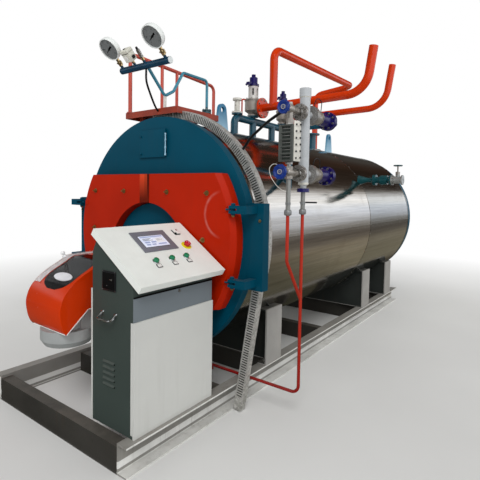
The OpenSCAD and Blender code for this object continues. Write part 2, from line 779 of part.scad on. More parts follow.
module top_platform() color([0.80, 0.22, 0.08]) {
  z0 = deck_z - deck_h;
  // edge frame
  translate([deck_x0, deck_y0, z0]) cube([deck_x1 - deck_x0, 8, deck_h]);
  translate([deck_x0, deck_y1 - 8, z0]) cube([deck_x1 - deck_x0, 8, deck_h]);
  translate([deck_x1 - 8, deck_y0, z0]) cube([8, deck_y1 - deck_y0, deck_h]);
  // long side stringer that also carries the rear posts
  translate([deck_x0, deck_y0, z0]) cube([8, rail_y1 + 40 - deck_y0, deck_h]);
  translate([deck_x0, deck_y0, deck_z - 8]) cube([64, rail_y1 + 40 - deck_y0, 8]);
  // chequer plate
  translate([deck_x0, deck_y0, deck_z - 8]) cube([deck_x1 - deck_x0, deck_y1 - deck_y0, 6]);
  // feet down to the drum
  for (p = [[deck_x0 + 20, deck_y0 + 160], [deck_x0 + 20, deck_y1 - 60], [deck_x0 + 20, rail_y1 - 30],
      [deck_x1 - 60, deck_y0 + 200], [deck_x1 - 60, deck_y1 - 60]])
    translate([p[0], p[1], 0]) difference() {
      translate([0, 0, crown - 175]) cube([44, 44, deck_rise + 167 + eps]);
      translate([-p[0], -1, axis_z]) rotate([-90, 0, 0]) cylinder(r = clad_r, h = 60, $fn = 180);
    }
}

module handrail() color([0.82, 0.34, 0.25]) {
  x = deck_x0 + 38;
  s = (rail_z1 - rail_z0) / (rail_y1 - deck_y0);
  pipe([[x, deck_y0 + 22, deck_z], [x, deck_y0 + 22, rail_z0],
    [x, rail_y1, rail_z1], [x, rail_y1, deck_z]], rail_r, 70);
  for (y = [500, 718]) bar([x, y, deck_z], [x, y, rail_z0 + s * (y - deck_y0)], rail_r - 2);
  for (y = [deck_y0 + 22, 500, 718, rail_y1]) translate([x, y, deck_z]) cylinder(r = 32, h = 8);
}

module gauge_header() color([0.06, 0.29, 0.36]) {
  translate([-header_l / 2 - 10, header_y, header_z]) rotate([0, 90, 0])
    cylinder(r = header_r, h = header_l);
  for (x = [-header_l / 2 - 14, header_l / 2 - 10 - eps]) translate([x, header_y, header_z])
    rotate([0, 90, 0]) cylinder(r = header_r - 4, h = 4 + eps);
  for (x = [-290, -120, 10, 262]) translate([x, header_y, header_z]) rotate([lean, 0, 0])
    cylinder(r = 13, h = header_r + 22);
}

// strut from the platform up to the syphon loop
module header_strut() color([0.86, 0.86, 0.84]) {
  y = deck_y0 + 41.8;
  translate([0, y, deck_z - 2]) cylinder(r = 11, h = syphon_low - 3.9 - deck_rise + 2);
  translate([0, y, deck_z - 2]) cylinder(r = 24, h = 8);
}

module gauge(x) {
  translate([x, header_y, header_z]) rotate([lean, 0, 0]) {
    // cock and tail
    color([0.72, 0.57, 0.28]) {
      translate([0, 0, header_r + 22]) cylinder(r = 15, h = 16, $fn = 6);
      translate([0, 0, header_r + 38]) cylinder(r = 9, h = 46);
      translate([0, 0, header_r + 50]) sphere(r = 18);
      translate([-30, 0, header_r + 50]) rotate([0, 90, 0]) cylinder(r = 7, h = 60);
      translate([0, 0, header_r + 70]) cylinder(r = 14, h = 24, $fn = 6);
    }
    // case and bezel
    color([0.90, 0.91, 0.90]) translate([0, gauge_d / 2, header_r + 90 + gauge_r])
      rotate([90, 0, 0]) {
        difference() {
          cylinder(r = gauge_r, h = gauge_d, $fn = 120);
          translate([0, 0, gauge_d - 9]) cylinder(r = gauge_r - 9, h = 10, $fn = 120);
        }
        translate([0, 0, gauge_d - 10]) cylinder(r = 8, h = 6);
      }
  }
}
module gauge_left() gauge(-290);
module gauge_right() gauge(262);

module pressure_switch() {
  translate([-120, header_y, header_z]) rotate([lean, 0, 0]) {
    color([0.72, 0.57, 0.28]) translate([0, 0, header_r + 22]) cylinder(r = 14, h = 22, $fn = 6);
    color([0.82, 0.82, 0.78]) translate([-48, -36, header_r + 42]) cube([84, 72, 108]);
  }
  translate([10, header_y, header_z]) rotate([lean, 0, 0]) {
    color([0.72, 0.57, 0.28]) translate([0, 0, header_r + 22]) cylinder(r = 13, h = 30, $fn = 6);
    color([0.60, 0.61, 0.62]) translate([0, 0, header_r + 50]) cylinder(r = 17, h = 70);
    color([0.15, 0.15, 0.16]) translate([0, 0, header_r + 120]) cylinder(r = 11, h = 22);
  }
}

module syphon_pipe() color([0.18, 0.48, 0.54]) off_drum() {
  z1 = crown + syphon_low;
  z2 = crown + syphon_rise;
  pipe([[0, header_y + header_r - 6, header_z - 6], [0, deck_y0 + 35, z1], [0, deck_y0 + 145, z1 + 64],
    [0, deck_y0 + 270, z2], [0, syphon_y, z2], [0, syphon_y, crown + syphon_fl + 4]], syphon_r, 38);
  translate([0, syphon_y, crown + syphon_fl]) cylinder(r = 47, h = 14);
  translate([0, syphon_y, crown + syphon_fl - 22]) cylinder(r = 47, h = 14);
  for (a = [45 : 90 : 315]) translate([0, syphon_y, crown + syphon_fl - 30]) rotate([0, 0, a])
    translate([34, 0, 0]) cylinder(r = 6, h = 54, $fn = 6);
  translate([0, syphon_y, crown - 4]) cylinder(r = 22, h = syphon_fl + 8);
}

module steam_manifold() color([0.06, 0.36, 0.42]) off_drum() {
  pipe([[0, man_y0, crown - 5], [0, man_y0, man_z], [0, man_y1 + 20, man_z]], man_r, man_bend);
  translate([0, man_y1 + 20, man_z]) rotate([-90, 0, 0]) cylinder(r = man_r + 24, h = 16);
  for (y = man_leg_y) translate([0, y, crown - 5]) cylinder(r = man_r, h = man_rise + 5);
  for (y = concat([man_y0], man_leg_y)) translate([0, y, crown - 5]) cylinder(r = man_r + 30, h = 15);
  // seats for the two safety valves and the vent spool
  for (y = [sv1_y, sv2_y]) {
    translate([0, y, man_z]) cylinder(r = 32, h = seat_h);
    translate([0, y, man_z + seat_h - 14]) cylinder(r = 66, h = 14);
  }
  translate([0, spool_y, man_z - 8]) cylinder(r = 30, h = 56);
  translate([0, spool_y, man_z + 34]) cylinder(r = 60, h = 14);
  // small tail pipe that opens toward the first safety valve
  pipe([[0, tail_y, man_z + man_r - 8], [0, tail_y, man_z + 222], [0, tail_y + 65, man_z + 228]], 9, 24);
}

module vent_spool() color([0.86, 0.86, 0.84]) translate([0, spool_y, man_z + 48]) {
  cylinder(r = 60, h = 14);
  cylinder(r = 30, h = 150);
  translate([0, 0, 142]) cylinder(r = 50, h = 23);
}

// spring safety valve, outlet toward +X, on a seat at the origin
module safety_valve(oz, rb, rim, bonnet, cap) {
  color([0.65, 0.61, 0.55]) {
    cylinder(r = 66, h = 14);
    cylinder(r = 44, h = 34);
    translate([0, 0, 29]) cylinder(r1 = rb * 0.6, r2 = rb, h = 30);
    translate([0, 0, 59]) cylinder(r = rb, h = rim - 78);
    translate([0, 0, rim - 20]) cylinder(r = rb + 4, h = 20);
    translate([0, 0, oz]) rotate([0, 90, 0]) cylinder(r = rb * 0.66, h = 128);
    for (i = [0 : 7]) rotate([0, 0, i * 45 + 22.5]) translate([rb - 10, 0, rim - 4])
      cylinder(r = 9, h = 14, $fn = 6);
  }
  // bonnet with two windows
  color([0.84, 0.83, 0.80]) difference() {
    translate([0, 0, rim]) cylinder(r = rb * 0.6, h = bonnet);
    translate([-rb, -15, rim + 36]) cube([2 * rb, 30, bonnet - 66]);
  }
  color([0.60, 0.58, 0.55]) translate([0, 0, rim]) cylinder(r = 16, h = bonnet);
  // cap and lifting lever
  color([0.10, 0.06, 0.38]) translate([0, 0, rim + bonnet]) {
    cylinder(r = rb * 0.64, h = 24);
    translate([0, 0, 24]) cylinder(r = rb * 0.48, h = cap - 60);
    translate([0, 0, cap - 36]) cylinder(r = 26, h = 36, $fn = 6);
    translate([-16, -rb - 22, 4]) rotate([10, 0, 0]) cube([32, rb, 26]);
  }
}
module safety_valve_front() translate([0, sv1_y, seat_z]) safety_valve(sv1_out, sv1_r, 191, 157, 136);
module safety_valve_rear() translate([0, sv2_y, seat_z]) safety_valve(sv2_out, sv2_r, 172, 138, 118);

module out_flange(r) {
  rotate([0, 90, 0]) difference() {
    cylinder(r = r, h = 18);
    for (i = [0 : 7]) rotate([0, 0, 22.5 + i * 45]) translate([r - 20, 0, -1])
      cylinder(r = 9, h = 20, $fn = 20);
  }
}
module discharge_pipe_front() color([0.80, 0.22, 0.06]) {
  z = sv1_out_z;
  translate([128, sv1_y, z]) out_flange(sv1_r + 19);
  pipe([[130, sv1_y, z], [dp1_x - 64, sv1_y, z + 35], [dp1_x, sv1_y, dp1_top]], dp1_r, 230);
}
module discharge_pipe_rear() color([0.80, 0.22, 0.06]) {
  z = sv2_out_z;
  translate([128, sv2_y, z]) out_flange(sv2_r + 18);
  pipe([[130, sv2_y, z], [dp2_x - 72, sv2_y, z + 24], [dp2_x, sv2_y, dp2_top]], dp2_r, 230);
}
module vent_loop() color([0.80, 0.22, 0.06]) off_drum() {
  x1 = vent_x - vent_cross;
  difference() {
    pipe([[vent_x, sv1_y, sv1_out_z + 10], [vent_x, sv1_y, vent_z0], [vent_x, vent_y, vent_z1],
      [x1, vent_y, vent_z1 - vent_slope], [x1, vent_y, crown - 110]], vent_r, vent_bend);
    // saddle cut where the riser stands on the discharge pipe
    bar([vent_x - 200, sv1_y, sv1_out_z + 35 * (vent_x - 330) / (dp1_x - 194)],
      [vent_x + 200, sv1_y, sv1_out_z + 35 * (vent_x + 70) / (dp1_x - 194)], dp1_r + 0.3);
  }
  translate([x1, vent_y, crown - 70]) cylinder(r = vent_r + 30, h = 20);
}

module steam_outlet() color([0.06, 0.36, 0.42]) off_drum() {
  translate([0, steam_y, 0]) {
    difference() {
      translate([0, 0, crown - 8]) cylinder(r = steam_r + 8, h = 250);
      translate([0, 0, crown - 9]) cylinder(r = steam_r, h = 260);
    }
    translate([0, 0, crown - 8]) difference() {
      cylinder(r = steam_fl_r + 20, h = 18);
      translate([0, 0, -1]) cylinder(r = steam_r + 8 - eps, h = 30);
    }
    translate([0, 0, crown + 242 - 20])
      flange(steam_fl_r, steam_r + 8 - eps, 20, 8, steam_fl_r - 20, 9);
  }
}

// ---- water level set ----
module blank_flange_front(z) {
  translate([col_x, col_y - col_r - 52, z]) rotate([-90, 0, 0]) {
    cylinder(r = 62, h = 16);
    translate([0, 0, 16]) cylinder(r = 62, h = 14);
    cylinder(r = 27, h = 60);
    for (i = [0 : 3]) rotate([0, 0, 45 + i * 90]) translate([46, 0, -12])
      cylinder(r = 10, h = 54, $fn = 6);
  }
}
module level_column() color([0.70, 0.73, 0.73]) {
  translate([col_x, col_y, col_bot]) cylinder(r = col_r, h = col_top - col_bot - 60);
  translate([col_x, col_y, col_top - 64]) cylinder(r = col_r + 5, h = 64);
  for (z = [up_z, low_z]) {
    blank_flange_front(z);
    translate([col_x, col_y, z]) rotate([-90, 0, 0]) cylinder(r = 27, h = col_r + 50);
    translate([col_x, col_y + col_r + 34, z]) rotate([-90, 0, 0]) cylinder(r = 74, h = 16);
  }
  translate([col_x, col_y, col_bot - 40]) cylinder(r = 24, h = 44);
  color([0.10, 0.06, 0.38]) translate([col_x, col_y, col_foot]) cylinder(r = 47, h = 28);
}

// valve along +Y with flanges, then a pipe toward the drum
module level_valve(z) {
  y0 = col_y + col_r + 50;
  color([0.50, 0.49, 0.47]) translate([col_x, y0, z]) rotate([-90, 0, 0]) cylinder(r = 74, h = 26);
  color([0.62, 0.60, 0.57]) translate([col_x, y0 + 26, z]) rotate([-90, 0, 0])
    cylinder(r1 = 66, r2 = 46, h = 110);
  color([0.10, 0.06, 0.38]) {
    translate([col_x, y0 + 136, z]) rotate([-90, 0, 0]) cylinder(r = 54, h = 150);
    translate([col_x, y0 + 286, z]) rotate([-90, 0, 0]) cylinder(r = 76, h = 24);
    translate([col_x, y0 + 312, z]) rotate([-90, 0, 0]) cylinder(r = 76, h = 22);
    translate([col_x, y0 + 300, z]) rotate([-90, 0, 0]) cylinder(r = 50, h = 20);
  }
  color([0.60, 0.58, 0.55]) for (i = [0 : 7]) translate([col_x, y0 + 278, z])
    rotate([-90, 0, 0]) rotate([0, 0, 22.5 + i * 45]) translate([62, 0, 0])
      cylinder(r = 8, h = 66, $fn = 6);
}
module level_valve_upper() {
  level_valve(up_z);
  y1 = col_y + col_r + 384;
  color([0.06, 0.36, 0.42]) off_drum() pipe([[col_x, y1 - 2, up_z], [col_x, y1 + 165, up_z],
    [clad_r - 120, y1 + 165, up_z],
    [clad_r - 120, y1 + 165, axis_z + sqrt(pow(clad_r, 2) - pow(clad_r - 120, 2)) - 51]], 24, 60);
}
module level_valve_lower() {
  level_valve(low_z);
  y1 = col_y + col_r + 384;
  color([0.06, 0.36, 0.42]) off_drum() pipe([[col_x, y1 - 2, low_z], [col_x, y1 + 80, low_z],
    [sqrt(pow(clad_r, 2) - pow(low_rise, 2)) - 15, y1 + 80, low_z]], 24, 60);
}

module level_gauge() {
  zc = glass_z;
  h = (glass_l - glass_bar * (glass_n + 1)) / glass_n;
  color([0.47, 0.48, 0.47]) difference() {
    translate([col_x - glass_w / 2, glass_y - glass_d / 2, zc - glass_l / 2])
      cube([glass_w, glass_d, glass_l]);
    for (i = [0 : glass_n - 1])
      translate([col_x - glass_w / 2 + 22, glass_y - glass_d / 2 - 1,
        zc - glass_l / 2 + glass_bar + i * (h + glass_bar)]) cube([glass_w - 44, 18, h]);
  }
  color([0.85, 0.86, 0.85]) translate([col_x + glass_w / 2, glass_y - glass_d / 2 + 8, zc - glass_l / 2 + 3])
    cube([10, glass_d - 16, glass_l + 22]);
  color([0.60, 0.58, 0.55]) translate([col_x, glass_y, low_z + 44])
    cylinder(r = 15, h = zc - glass_l / 2 - low_z - 43);
}
module level_cocks() {
  for (i = [0, 1]) {
    z = [low_z, up_z][i];
    color([0.60, 0.58, 0.55]) {
      translate([col_x, col_y - col_r - 52, z]) rotate([90, 0, 0])
        cylinder(r = 20, h = glass_off - col_r - 52 + 14);
      translate([col_x, glass_y, i == 1 ? glass_z + glass_l / 2 : z - 44])
        cylinder(r = 22, h = i == 1 ? up_z + 44 - glass_z - glass_l / 2 : 88);
      translate([col_x, glass_y - 20, z]) rotate([90, 0, 0]) cylinder(r = 12, h = wheel_off[i] - 16);
    }
    color([0.06, 0.16, 0.50]) translate([col_x, glass_y - wheel_off[i], z]) rotate([90, 0, 0]) {
      rotate_extrude() translate([wheel_r[i] - 9, 0]) circle(9, $fn = 24);
      cylinder(r = 15, h = 14);
      for (a = [0 : 72 : 288]) rotate([0, 0, a]) translate([0, -4, 0]) cube([wheel_r[i] - 10, 8, 8]);
    }
  }
  // cable gland on the upper cock
  color([0.60, 0.58, 0.55]) translate([col_x, glass_y, up_z - 10]) rotate([0, -90, 0])
    cylinder(r = 14, h = 50.7);
}
module level_drains() {
  p = [col_x, col_y];
  g = [col_x, glass_y];
  zj = axis_z - drain_join;
  color([0.62, 0.62, 0.60]) {
    translate([p[0], p[1], col_foot - 130]) cylinder(r = 17, h = 130);
    translate([p[0], p[1], col_foot - 168]) cylinder(r = 24, h = 38, $fn = 6);
    translate([g[0], g[1], col_foot - 130]) cylinder(r = 17, h = low_z - 44 - col_foot + 130);
    translate([g[0], g[1], col_foot - 168]) cylinder(r = 24, h = 38, $fn = 6);
  }
  color([0.75, 0.22, 0.16]) {
    pipe([[p[0], p[1], col_foot - 160], [p[0], p[1], drain_z], [drain_x, p[1], drain_z]], drain_r, 60);
    pipe([[g[0], g[1], col_foot - 160], [g[0], g[1], zj + 320], [p[0], p[1], zj]], drain_r, 60);
  }
  // clip to the skid cross beam
  color([0.44, 0.43, 0.42]) translate([drain_x + 50, p[1] - 8, skid_h - cross_low])
    cube([30, 16, drain_z - skid_h + cross_low]);
}

module feedwater_valves() {
  translate([feed_x0, feed_y, feed_z]) rotate([0, 90, 0]) {
    color([0.04, 0.29, 0.31]) {
      cylinder(r = 30, h = 240);
      cylinder(r1 = 62, r2 = 30, h = 110);
      translate([0, 0, 190]) cylinder(r = 68, h = 18);
      translate([0, 0, 210]) cylinder(r = 68, h = 18);
      translate([0, 0, 207]) cylinder(r = 58, h = 4);
      translate([0, 0, 226]) cylinder(r = 40, h = 180);
      translate([0, 0, 278]) cylinder(r = 58, h = 90);
      translate([0, 0, 398]) cylinder(r = 62, h = 18);
    }
    color([0.66, 0.67, 0.67]) translate([0, 0, 416]) cylinder(r = 62, h = 18);
    color([0.66, 0.67, 0.67]) translate([0, 0, 428]) cylinder(r = 44, h = feed_reach - 446);
    color([0.66, 0.67, 0.67]) translate([0, 0, feed_reach - 18]) difference() {
      cylinder(r = feed_fl_r, h = 18);
      translate([0, 0, -1]) cylinder(r = 20, h = 20);
      holes(4, feed_fl_r - 15, 7, 18);
    }
  }
  translate([feed_x0 + 488, feed_y, feed_z]) {
    color([0.60, 0.58, 0.55]) translate([0, 0, 30]) cylinder(r = 26, h = 70);
    color([0.60, 0.58, 0.55]) translate([0, 0, 90]) cylinder(r = 9, h = 90);
    color([0.10, 0.28, 0.30]) translate([0, 0, 176]) rotate_extrude()
      translate([46, 0]) circle(8, $fn = 24);
    color([0.10, 0.28, 0.30]) translate([0, 0, 172]) {
      translate([-46, -5, 0]) cube([92, 10, 8]);
      translate([-5, -46, 0]) cube([10, 92, 8]);
    }
  }
}

// ---- operator console ----
function desk_under(x) = desk_zf + (desk_x1 - x) * tan(desk_tilt) - desk_t / cos(desk_tilt) - 0.3;
module con_side() {
  polygon([[con_x0, skid_h], [con_x1, skid_h], [con_x1, desk_under(con_x1)],
    [con_x0 + 45, desk_under(con_x0 + 45)], [con_x0, con_zb - 90]]);
}
module console_body() color([0.25, 0.29, 0.29]) {
  h = con_y1 - con_y0;
  translate([0, con_y1, 0]) rotate([90, 0, 0]) difference() {
    linear_extrude(height = h) con_side();
    translate([0, 0, con_t]) linear_extrude(height = h - 2 * con_t) offset(delta = -con_t) con_side();
    // louvres in both sides
    for (i = [0 : 4]) translate([con_x0 + 116, 485 + i * 38, -1]) cube([126, 10, h + 2]);
  }
}
module console_desk() color([0.84, 0.84, 0.80]) {
  w = con_y1 - con_y0 + desk_over + desk_right;
  translate([desk_x1, con_y0 - desk_over, desk_zf]) rotate([0, desk_tilt, 0])
    translate([-desk_len, 0, -desk_t]) cube([desk_len, w, desk_t]);
}
module console_front_panel() {
  h = con_y1 - con_y0;
  color([0.42, 0.45, 0.47]) translate([con_x1, con_y0, panel_z - 18]) cube([4, h, con_zf - panel_z + 18]);
  color([0.84, 0.84, 0.80]) translate([con_x1, con_y0 - 2, skid_h + 0.3])
    cube([14, h + 4, panel_z - skid_h - 0.3]);
  color([0.84, 0.84, 0.80]) translate([con_x0 - 14, con_y0 - 2, skid_h + 0.3])
    cube([14, h + 4, strip_z - skid_h - 0.3]);
}
module console_controls() {
  translate([desk_x1, con_y0, desk_zf]) rotate([0, desk_tilt, 0]) {
    // touch screen frame and glass
    color([0.47, 0.46, 0.50]) translate([-bezel_at, bezel_y, 0]) cube([bezel_h, bezel_w, 9]);
    color([0.84, 0.85, 0.93]) translate([-bezel_at + 25, bezel_y + 36, 9])
      cube([bezel_h - 50, bezel_w - 72, 1.5]);
    // emergency stop
    color([0.86, 0.74, 0.10]) translate([-310, 632, 0]) cylinder(r = 34, h = 4);
    color([0.75, 0.06, 0.06]) translate([-310, 632, 4]) {
      cylinder(r = 13, h = 20);
      translate([0, 0, 20]) cylinder(r = 21, h = 14);
    }
    // three push buttons
    for (y = [240, 388, 531]) {
      color([0.70, 0.71, 0.70]) translate([-198, y, 0]) cylinder(r = 19, h = 6);
      color([0.02, 0.42, 0.24]) translate([-198, y, 6]) cylinder(r = 15, h = 16);
      color([0.90, 0.90, 0.88]) translate([-174, y - 20, 0]) cube([24, 44, 2]);
    }
    color([0.90, 0.90, 0.88]) translate([-505, 622, 0]) cube([67, 42, 2]);
  }
  // socket plate and handle on the left side
  color([0.05, 0.05, 0.05]) translate([con_x0 + 110, con_y0 - 6, 1118]) cube([142, 6, 131]);
  color([0.80, 0.81, 0.82]) {
    for (x = [handle_x, handle_x + handle_l]) translate([x, con_y0, handle_z]) rotate([90, 0, 0])
      cylinder(r = 7, h = handle_d);
    translate([handle_x - 7, con_y0 - handle_d, handle_z]) rotate([0, 90, 0])
      cylinder(r = 7, h = handle_l + 14);
  }
}

// loose cables, both ends held
module gauge_cable() color([0.03, 0.03, 0.03]) cable(gauge_cable_p, 9, [1, 0, 0]);
module level_cable() color([0.03, 0.03, 0.03]) cable(level_cable_p, 11, [0, 1, 0]);

shell_cladding();
front_smokebox();
inspection_cover();
left_front_door();
right_front_door();
furnace_front_plate();
right_hinge_bracket();
left_hinge_bracket();
burner_hood();
burner_base();
burner_head();
rear_smokebox();
flue_outlet();
skid_beam_right();
skid_beam_left();
skid_cross_members();
saddle_front();
saddle_middle();
saddle_rear();
cable_tray_arch();
cable_tray_drop();
lifting_lugs();
top_platform();
handrail();
gauge_header();
header_strut();
gauge_left();
gauge_right();
pressure_switch();
syphon_pipe();
steam_manifold();
vent_spool();
safety_valve_front();
safety_valve_rear();
discharge_pipe_front();
discharge_pipe_rear();
vent_loop();
steam_outlet();
level_column();
level_valve_upper();
level_valve_lower();
level_gauge();
level_cocks();
level_drains();
feedwater_valves();
console_body();
console_desk();
console_front_panel();
console_controls();
gauge_cable();
level_cable();
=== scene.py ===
# Looks for the steam boiler package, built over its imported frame.
import math
import bpy
import bmesh
from mathutils import Matrix, Vector


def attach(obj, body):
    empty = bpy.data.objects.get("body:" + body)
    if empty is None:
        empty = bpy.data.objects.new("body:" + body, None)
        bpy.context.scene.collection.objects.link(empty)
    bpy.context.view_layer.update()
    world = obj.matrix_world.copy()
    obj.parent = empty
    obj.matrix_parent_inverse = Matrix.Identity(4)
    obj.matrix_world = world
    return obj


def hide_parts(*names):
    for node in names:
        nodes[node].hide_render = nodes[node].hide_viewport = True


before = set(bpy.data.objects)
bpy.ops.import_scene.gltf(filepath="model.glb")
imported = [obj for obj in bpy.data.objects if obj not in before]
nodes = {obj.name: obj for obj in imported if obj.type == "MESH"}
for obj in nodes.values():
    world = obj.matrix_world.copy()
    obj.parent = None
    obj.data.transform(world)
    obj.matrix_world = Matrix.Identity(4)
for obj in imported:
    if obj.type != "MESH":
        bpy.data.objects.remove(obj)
bpy.context.scene.view_settings.view_transform = "Standard"
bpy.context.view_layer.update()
print("frame loaded with", len(nodes), "nodes")

# ---- camera ----
cameraSet = {"at": (2.8621, -2.6132, 1.7818), "yaw": 0.633, "pitch": -0.0492, "roll": 0.0174,
             "lens": 31.43, "shiftY": -0.0583}


def makeCamera(s):
    yaw, pitch, roll = s["yaw"], s["pitch"], s["roll"]
    ahead = Vector((-math.sin(yaw) * math.cos(pitch), math.cos(yaw) * math.cos(pitch), math.sin(pitch)))
    right = Vector((math.cos(yaw), math.sin(yaw), 0))
    up = right.cross(ahead)
    r2 = math.cos(roll) * right + math.sin(roll) * up
    u2 = -math.sin(roll) * right + math.cos(roll) * up
    data = bpy.data.cameras.new("photoCamera")
    data.lens, data.sensor_width, data.shift_y = s["lens"], 36, s["shiftY"]
    data.clip_end = 200
    cam = bpy.data.objects.new("photoCamera", data)
    bpy.context.collection.objects.link(cam)
    turn = Matrix((r2, u2, -ahead)).transposed().to_4x4()
    cam.matrix_world = Matrix.Translation(s["at"]) @ turn
    bpy.context.scene.camera = cam
    return cam


makeCamera(cameraSet)
print("camera set")

# two loose cables, on the points that their solids follow
cordSets = {
    "gaugeCable": {"radius": 0.009, "node": "gauge_cable", "points": [
                (0.0040, -0.1300, 2.8293), (0.0057, -0.1318, 2.7938), (0.0075, -0.1336, 2.7583),
                (0.0070, -0.1290, 2.7240), (0.0031, -0.1144, 2.6917), (-0.0029, -0.0934, 2.6606),
                (-0.0100, -0.0700, 2.6300), (-0.0184, -0.0438, 2.5977), (-0.0279, -0.0152, 2.5659),
                (-0.0360, 0.0100, 2.5400), (-0.0416, 0.0288, 2.5237), (-0.0458, 0.0443, 2.5134),
                (-0.0500, 0.0597, 2.5030)]},
    "levelCable": {"radius": 0.011, "node": "level_cable", "points": [
                (1.3110, 0.0110, 2.3620), (1.2973, 0.0139, 2.3589), (1.2740, 0.0200, 2.3520),
                (1.2205, 0.0352, 2.3334), (1.1600, 0.0550, 2.3120), (1.1139, 0.0781, 2.2974),
                (1.0670, 0.1000, 2.2790), (1.0048, 0.1141, 2.2444), (0.9470, 0.1250, 2.2080),
                (0.9136, 0.1358, 2.1818), (0.8900, 0.1450, 2.1600), (0.8681, 0.1519, 2.1416),
                (0.8482, 0.1580, 2.1248)]},
}


def makeCord(name, s):
    curve = bpy.data.curves.new(name, "CURVE")
    curve.dimensions = "3D"
    curve.bevel_depth, curve.bevel_resolution, curve.use_fill_caps = 1.0, 5, True
    curve.resolution_u = 4
    line = curve.splines.new("BEZIER")
    line.bezier_points.add(len(s["points"]) - 1)
    for spot, at in zip(line.bezier_points, s["points"]):
        spot.co, spot.radius = at, s["radius"]
        spot.handle_left_type = spot.handle_right_type = "AUTO"
    piece = bpy.data.objects.new(name, curve)
    bpy.context.collection.objects.link(piece)
    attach(piece, "root")
    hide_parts(s["node"])
    return piece


cordPieces = [makeCord(name, s) for name, s in cordSets.items()]
print("cables laid")


# ---- shared node groups ----
def newGroup(name, ins, outs):
    g = bpy.data.node_groups.new(name, "ShaderNodeTree")
    for label, kind, value in ins:
        socket = g.interface.new_socket(name=label, in_out="INPUT", socket_type=kind)
        if value is not None:
            socket.default_value = value
    for label, kind in outs:
        g.interface.new_socket(name=label, in_out="OUTPUT", socket_type=kind)
    return g, g.nodes.new("NodeGroupInput"), g.nodes.new("NodeGroupOutput")


def put(tree, kind, **values):
    n = tree.nodes.new(kind)
    for key, value in values.items():
        setattr(n, key, value)
    return n


def math2(tree, how, a, b=None, c=None, clamp=False):
    n = put(tree, "ShaderNodeMath", operation=how, use_clamp=clamp)
    for i, v in enumerate((a, b, c)):
        if v is None:
            continue
        if isinstance(v, (int, float)):
            n.inputs[i].default_value = v
        else:
            tree.links.new(v, n.inputs[i])
    return n.outputs[0]


def noise(tree, where, scale, detail=4, rough=0.5, warp=0.0):
    n = put(tree, "ShaderNodeTexNoise")
    n.inputs["Scale"].default_value = scale
    n.inputs["Detail"].default_value = detail
    n.inputs["Roughness"].default_value = rough
    n.inputs["Distortion"].default_value = warp
    tree.links.new(where, n.inputs["Vector"])
    return n.outputs["Fac"]


def stretched(tree, where, scale):
    n = put(tree, "ShaderNodeMapping")
    n.inputs["Scale"].default_value = scale
    tree.links.new(where, n.inputs["Vector"])
    return n.outputs[0]


def spread(tree, value, low, high, outLow=0.0, outHigh=1.0):
    n = put(tree, "ShaderNodeMapRange")
    n.inputs["From Min"].default_value = low
    n.inputs["From Max"].default_value = high
    n.inputs["To Min"].default_value = outLow
    n.inputs["To Max"].default_value = outHigh
    tree.links.new(value, n.inputs["Value"])
    return n.outputs[0]


def buildWeather():    # slow shade and fine grain for any paint or casting
    g, a, b = newGroup("paintWeather", [("Position", "NodeSocketVector", None),
                                        ("Patch Scale", "NodeSocketFloat", 2.0),
                                        ("Grain Scale", "NodeSocketFloat", 160.0)],
                       [("Shade", "NodeSocketFloat"), ("Grain", "NodeSocketFloat"), ("Scuff", "NodeSocketFloat")])
    slow = put(g, "ShaderNodeTexNoise")
    slow.inputs["Detail"].default_value = 5
    g.links.new(a.outputs["Position"], slow.inputs["Vector"])
    g.links.new(a.outputs["Patch Scale"], slow.inputs["Scale"])
    fine = put(g, "ShaderNodeTexNoise")
    fine.inputs["Detail"].default_value = 2
    g.links.new(a.outputs["Position"], fine.inputs["Vector"])
    g.links.new(a.outputs["Grain Scale"], fine.inputs["Scale"])
    g.links.new(slow.outputs["Fac"], b.inputs["Shade"])
    g.links.new(fine.outputs["Fac"], b.inputs["Grain"])
    scuff = noise(g, a.outputs["Position"], 23, 6, 0.7, 0.4)
    g.links.new(spread(g, scuff, 0.60, 0.72), b.inputs["Scuff"])
    return g


def buildDust():    # settles on faces that look up, thicker in patches
    g, a, b = newGroup("shopDust", [("Position", "NodeSocketVector", None), ("Amount", "NodeSocketFloat", 0.5)],
                       [("Mask", "NodeSocketFloat")])
    geo = put(g, "ShaderNodeNewGeometry")
    split = put(g, "ShaderNodeSeparateXYZ")
    g.links.new(geo.outputs["Normal"], split.inputs[0])
    up = spread(g, split.outputs["Z"], 0.35, 0.95)
    patch = spread(g, noise(g, a.outputs["Position"], 5.5, 6, 0.65), 0.34, 0.66, 0.25, 1.0)
    g.links.new(math2(g, "MULTIPLY", math2(g, "MULTIPLY", up, patch), a.outputs["Amount"], clamp=True),
                b.inputs["Mask"])
    return g


def buildRuns():    # marks that have run down a standing face
    g, a, b = newGroup("downRuns", [("Position", "NodeSocketVector", None), ("Amount", "NodeSocketFloat", 0.3)],
                       [("Mask", "NodeSocketFloat")])
    lines = noise(g, stretched(g, a.outputs["Position"], (1, 1, 0.06)), 22, 4, 0.6)
    broad = noise(g, a.outputs["Position"], 1.6, 3, 0.5)
    both = math2(g, "MULTIPLY", spread(g, lines, 0.52, 0.72), spread(g, broad, 0.42, 0.62))
    g.links.new(math2(g, "MULTIPLY", both, a.outputs["Amount"], clamp=True), b.inputs["Mask"])
    return g


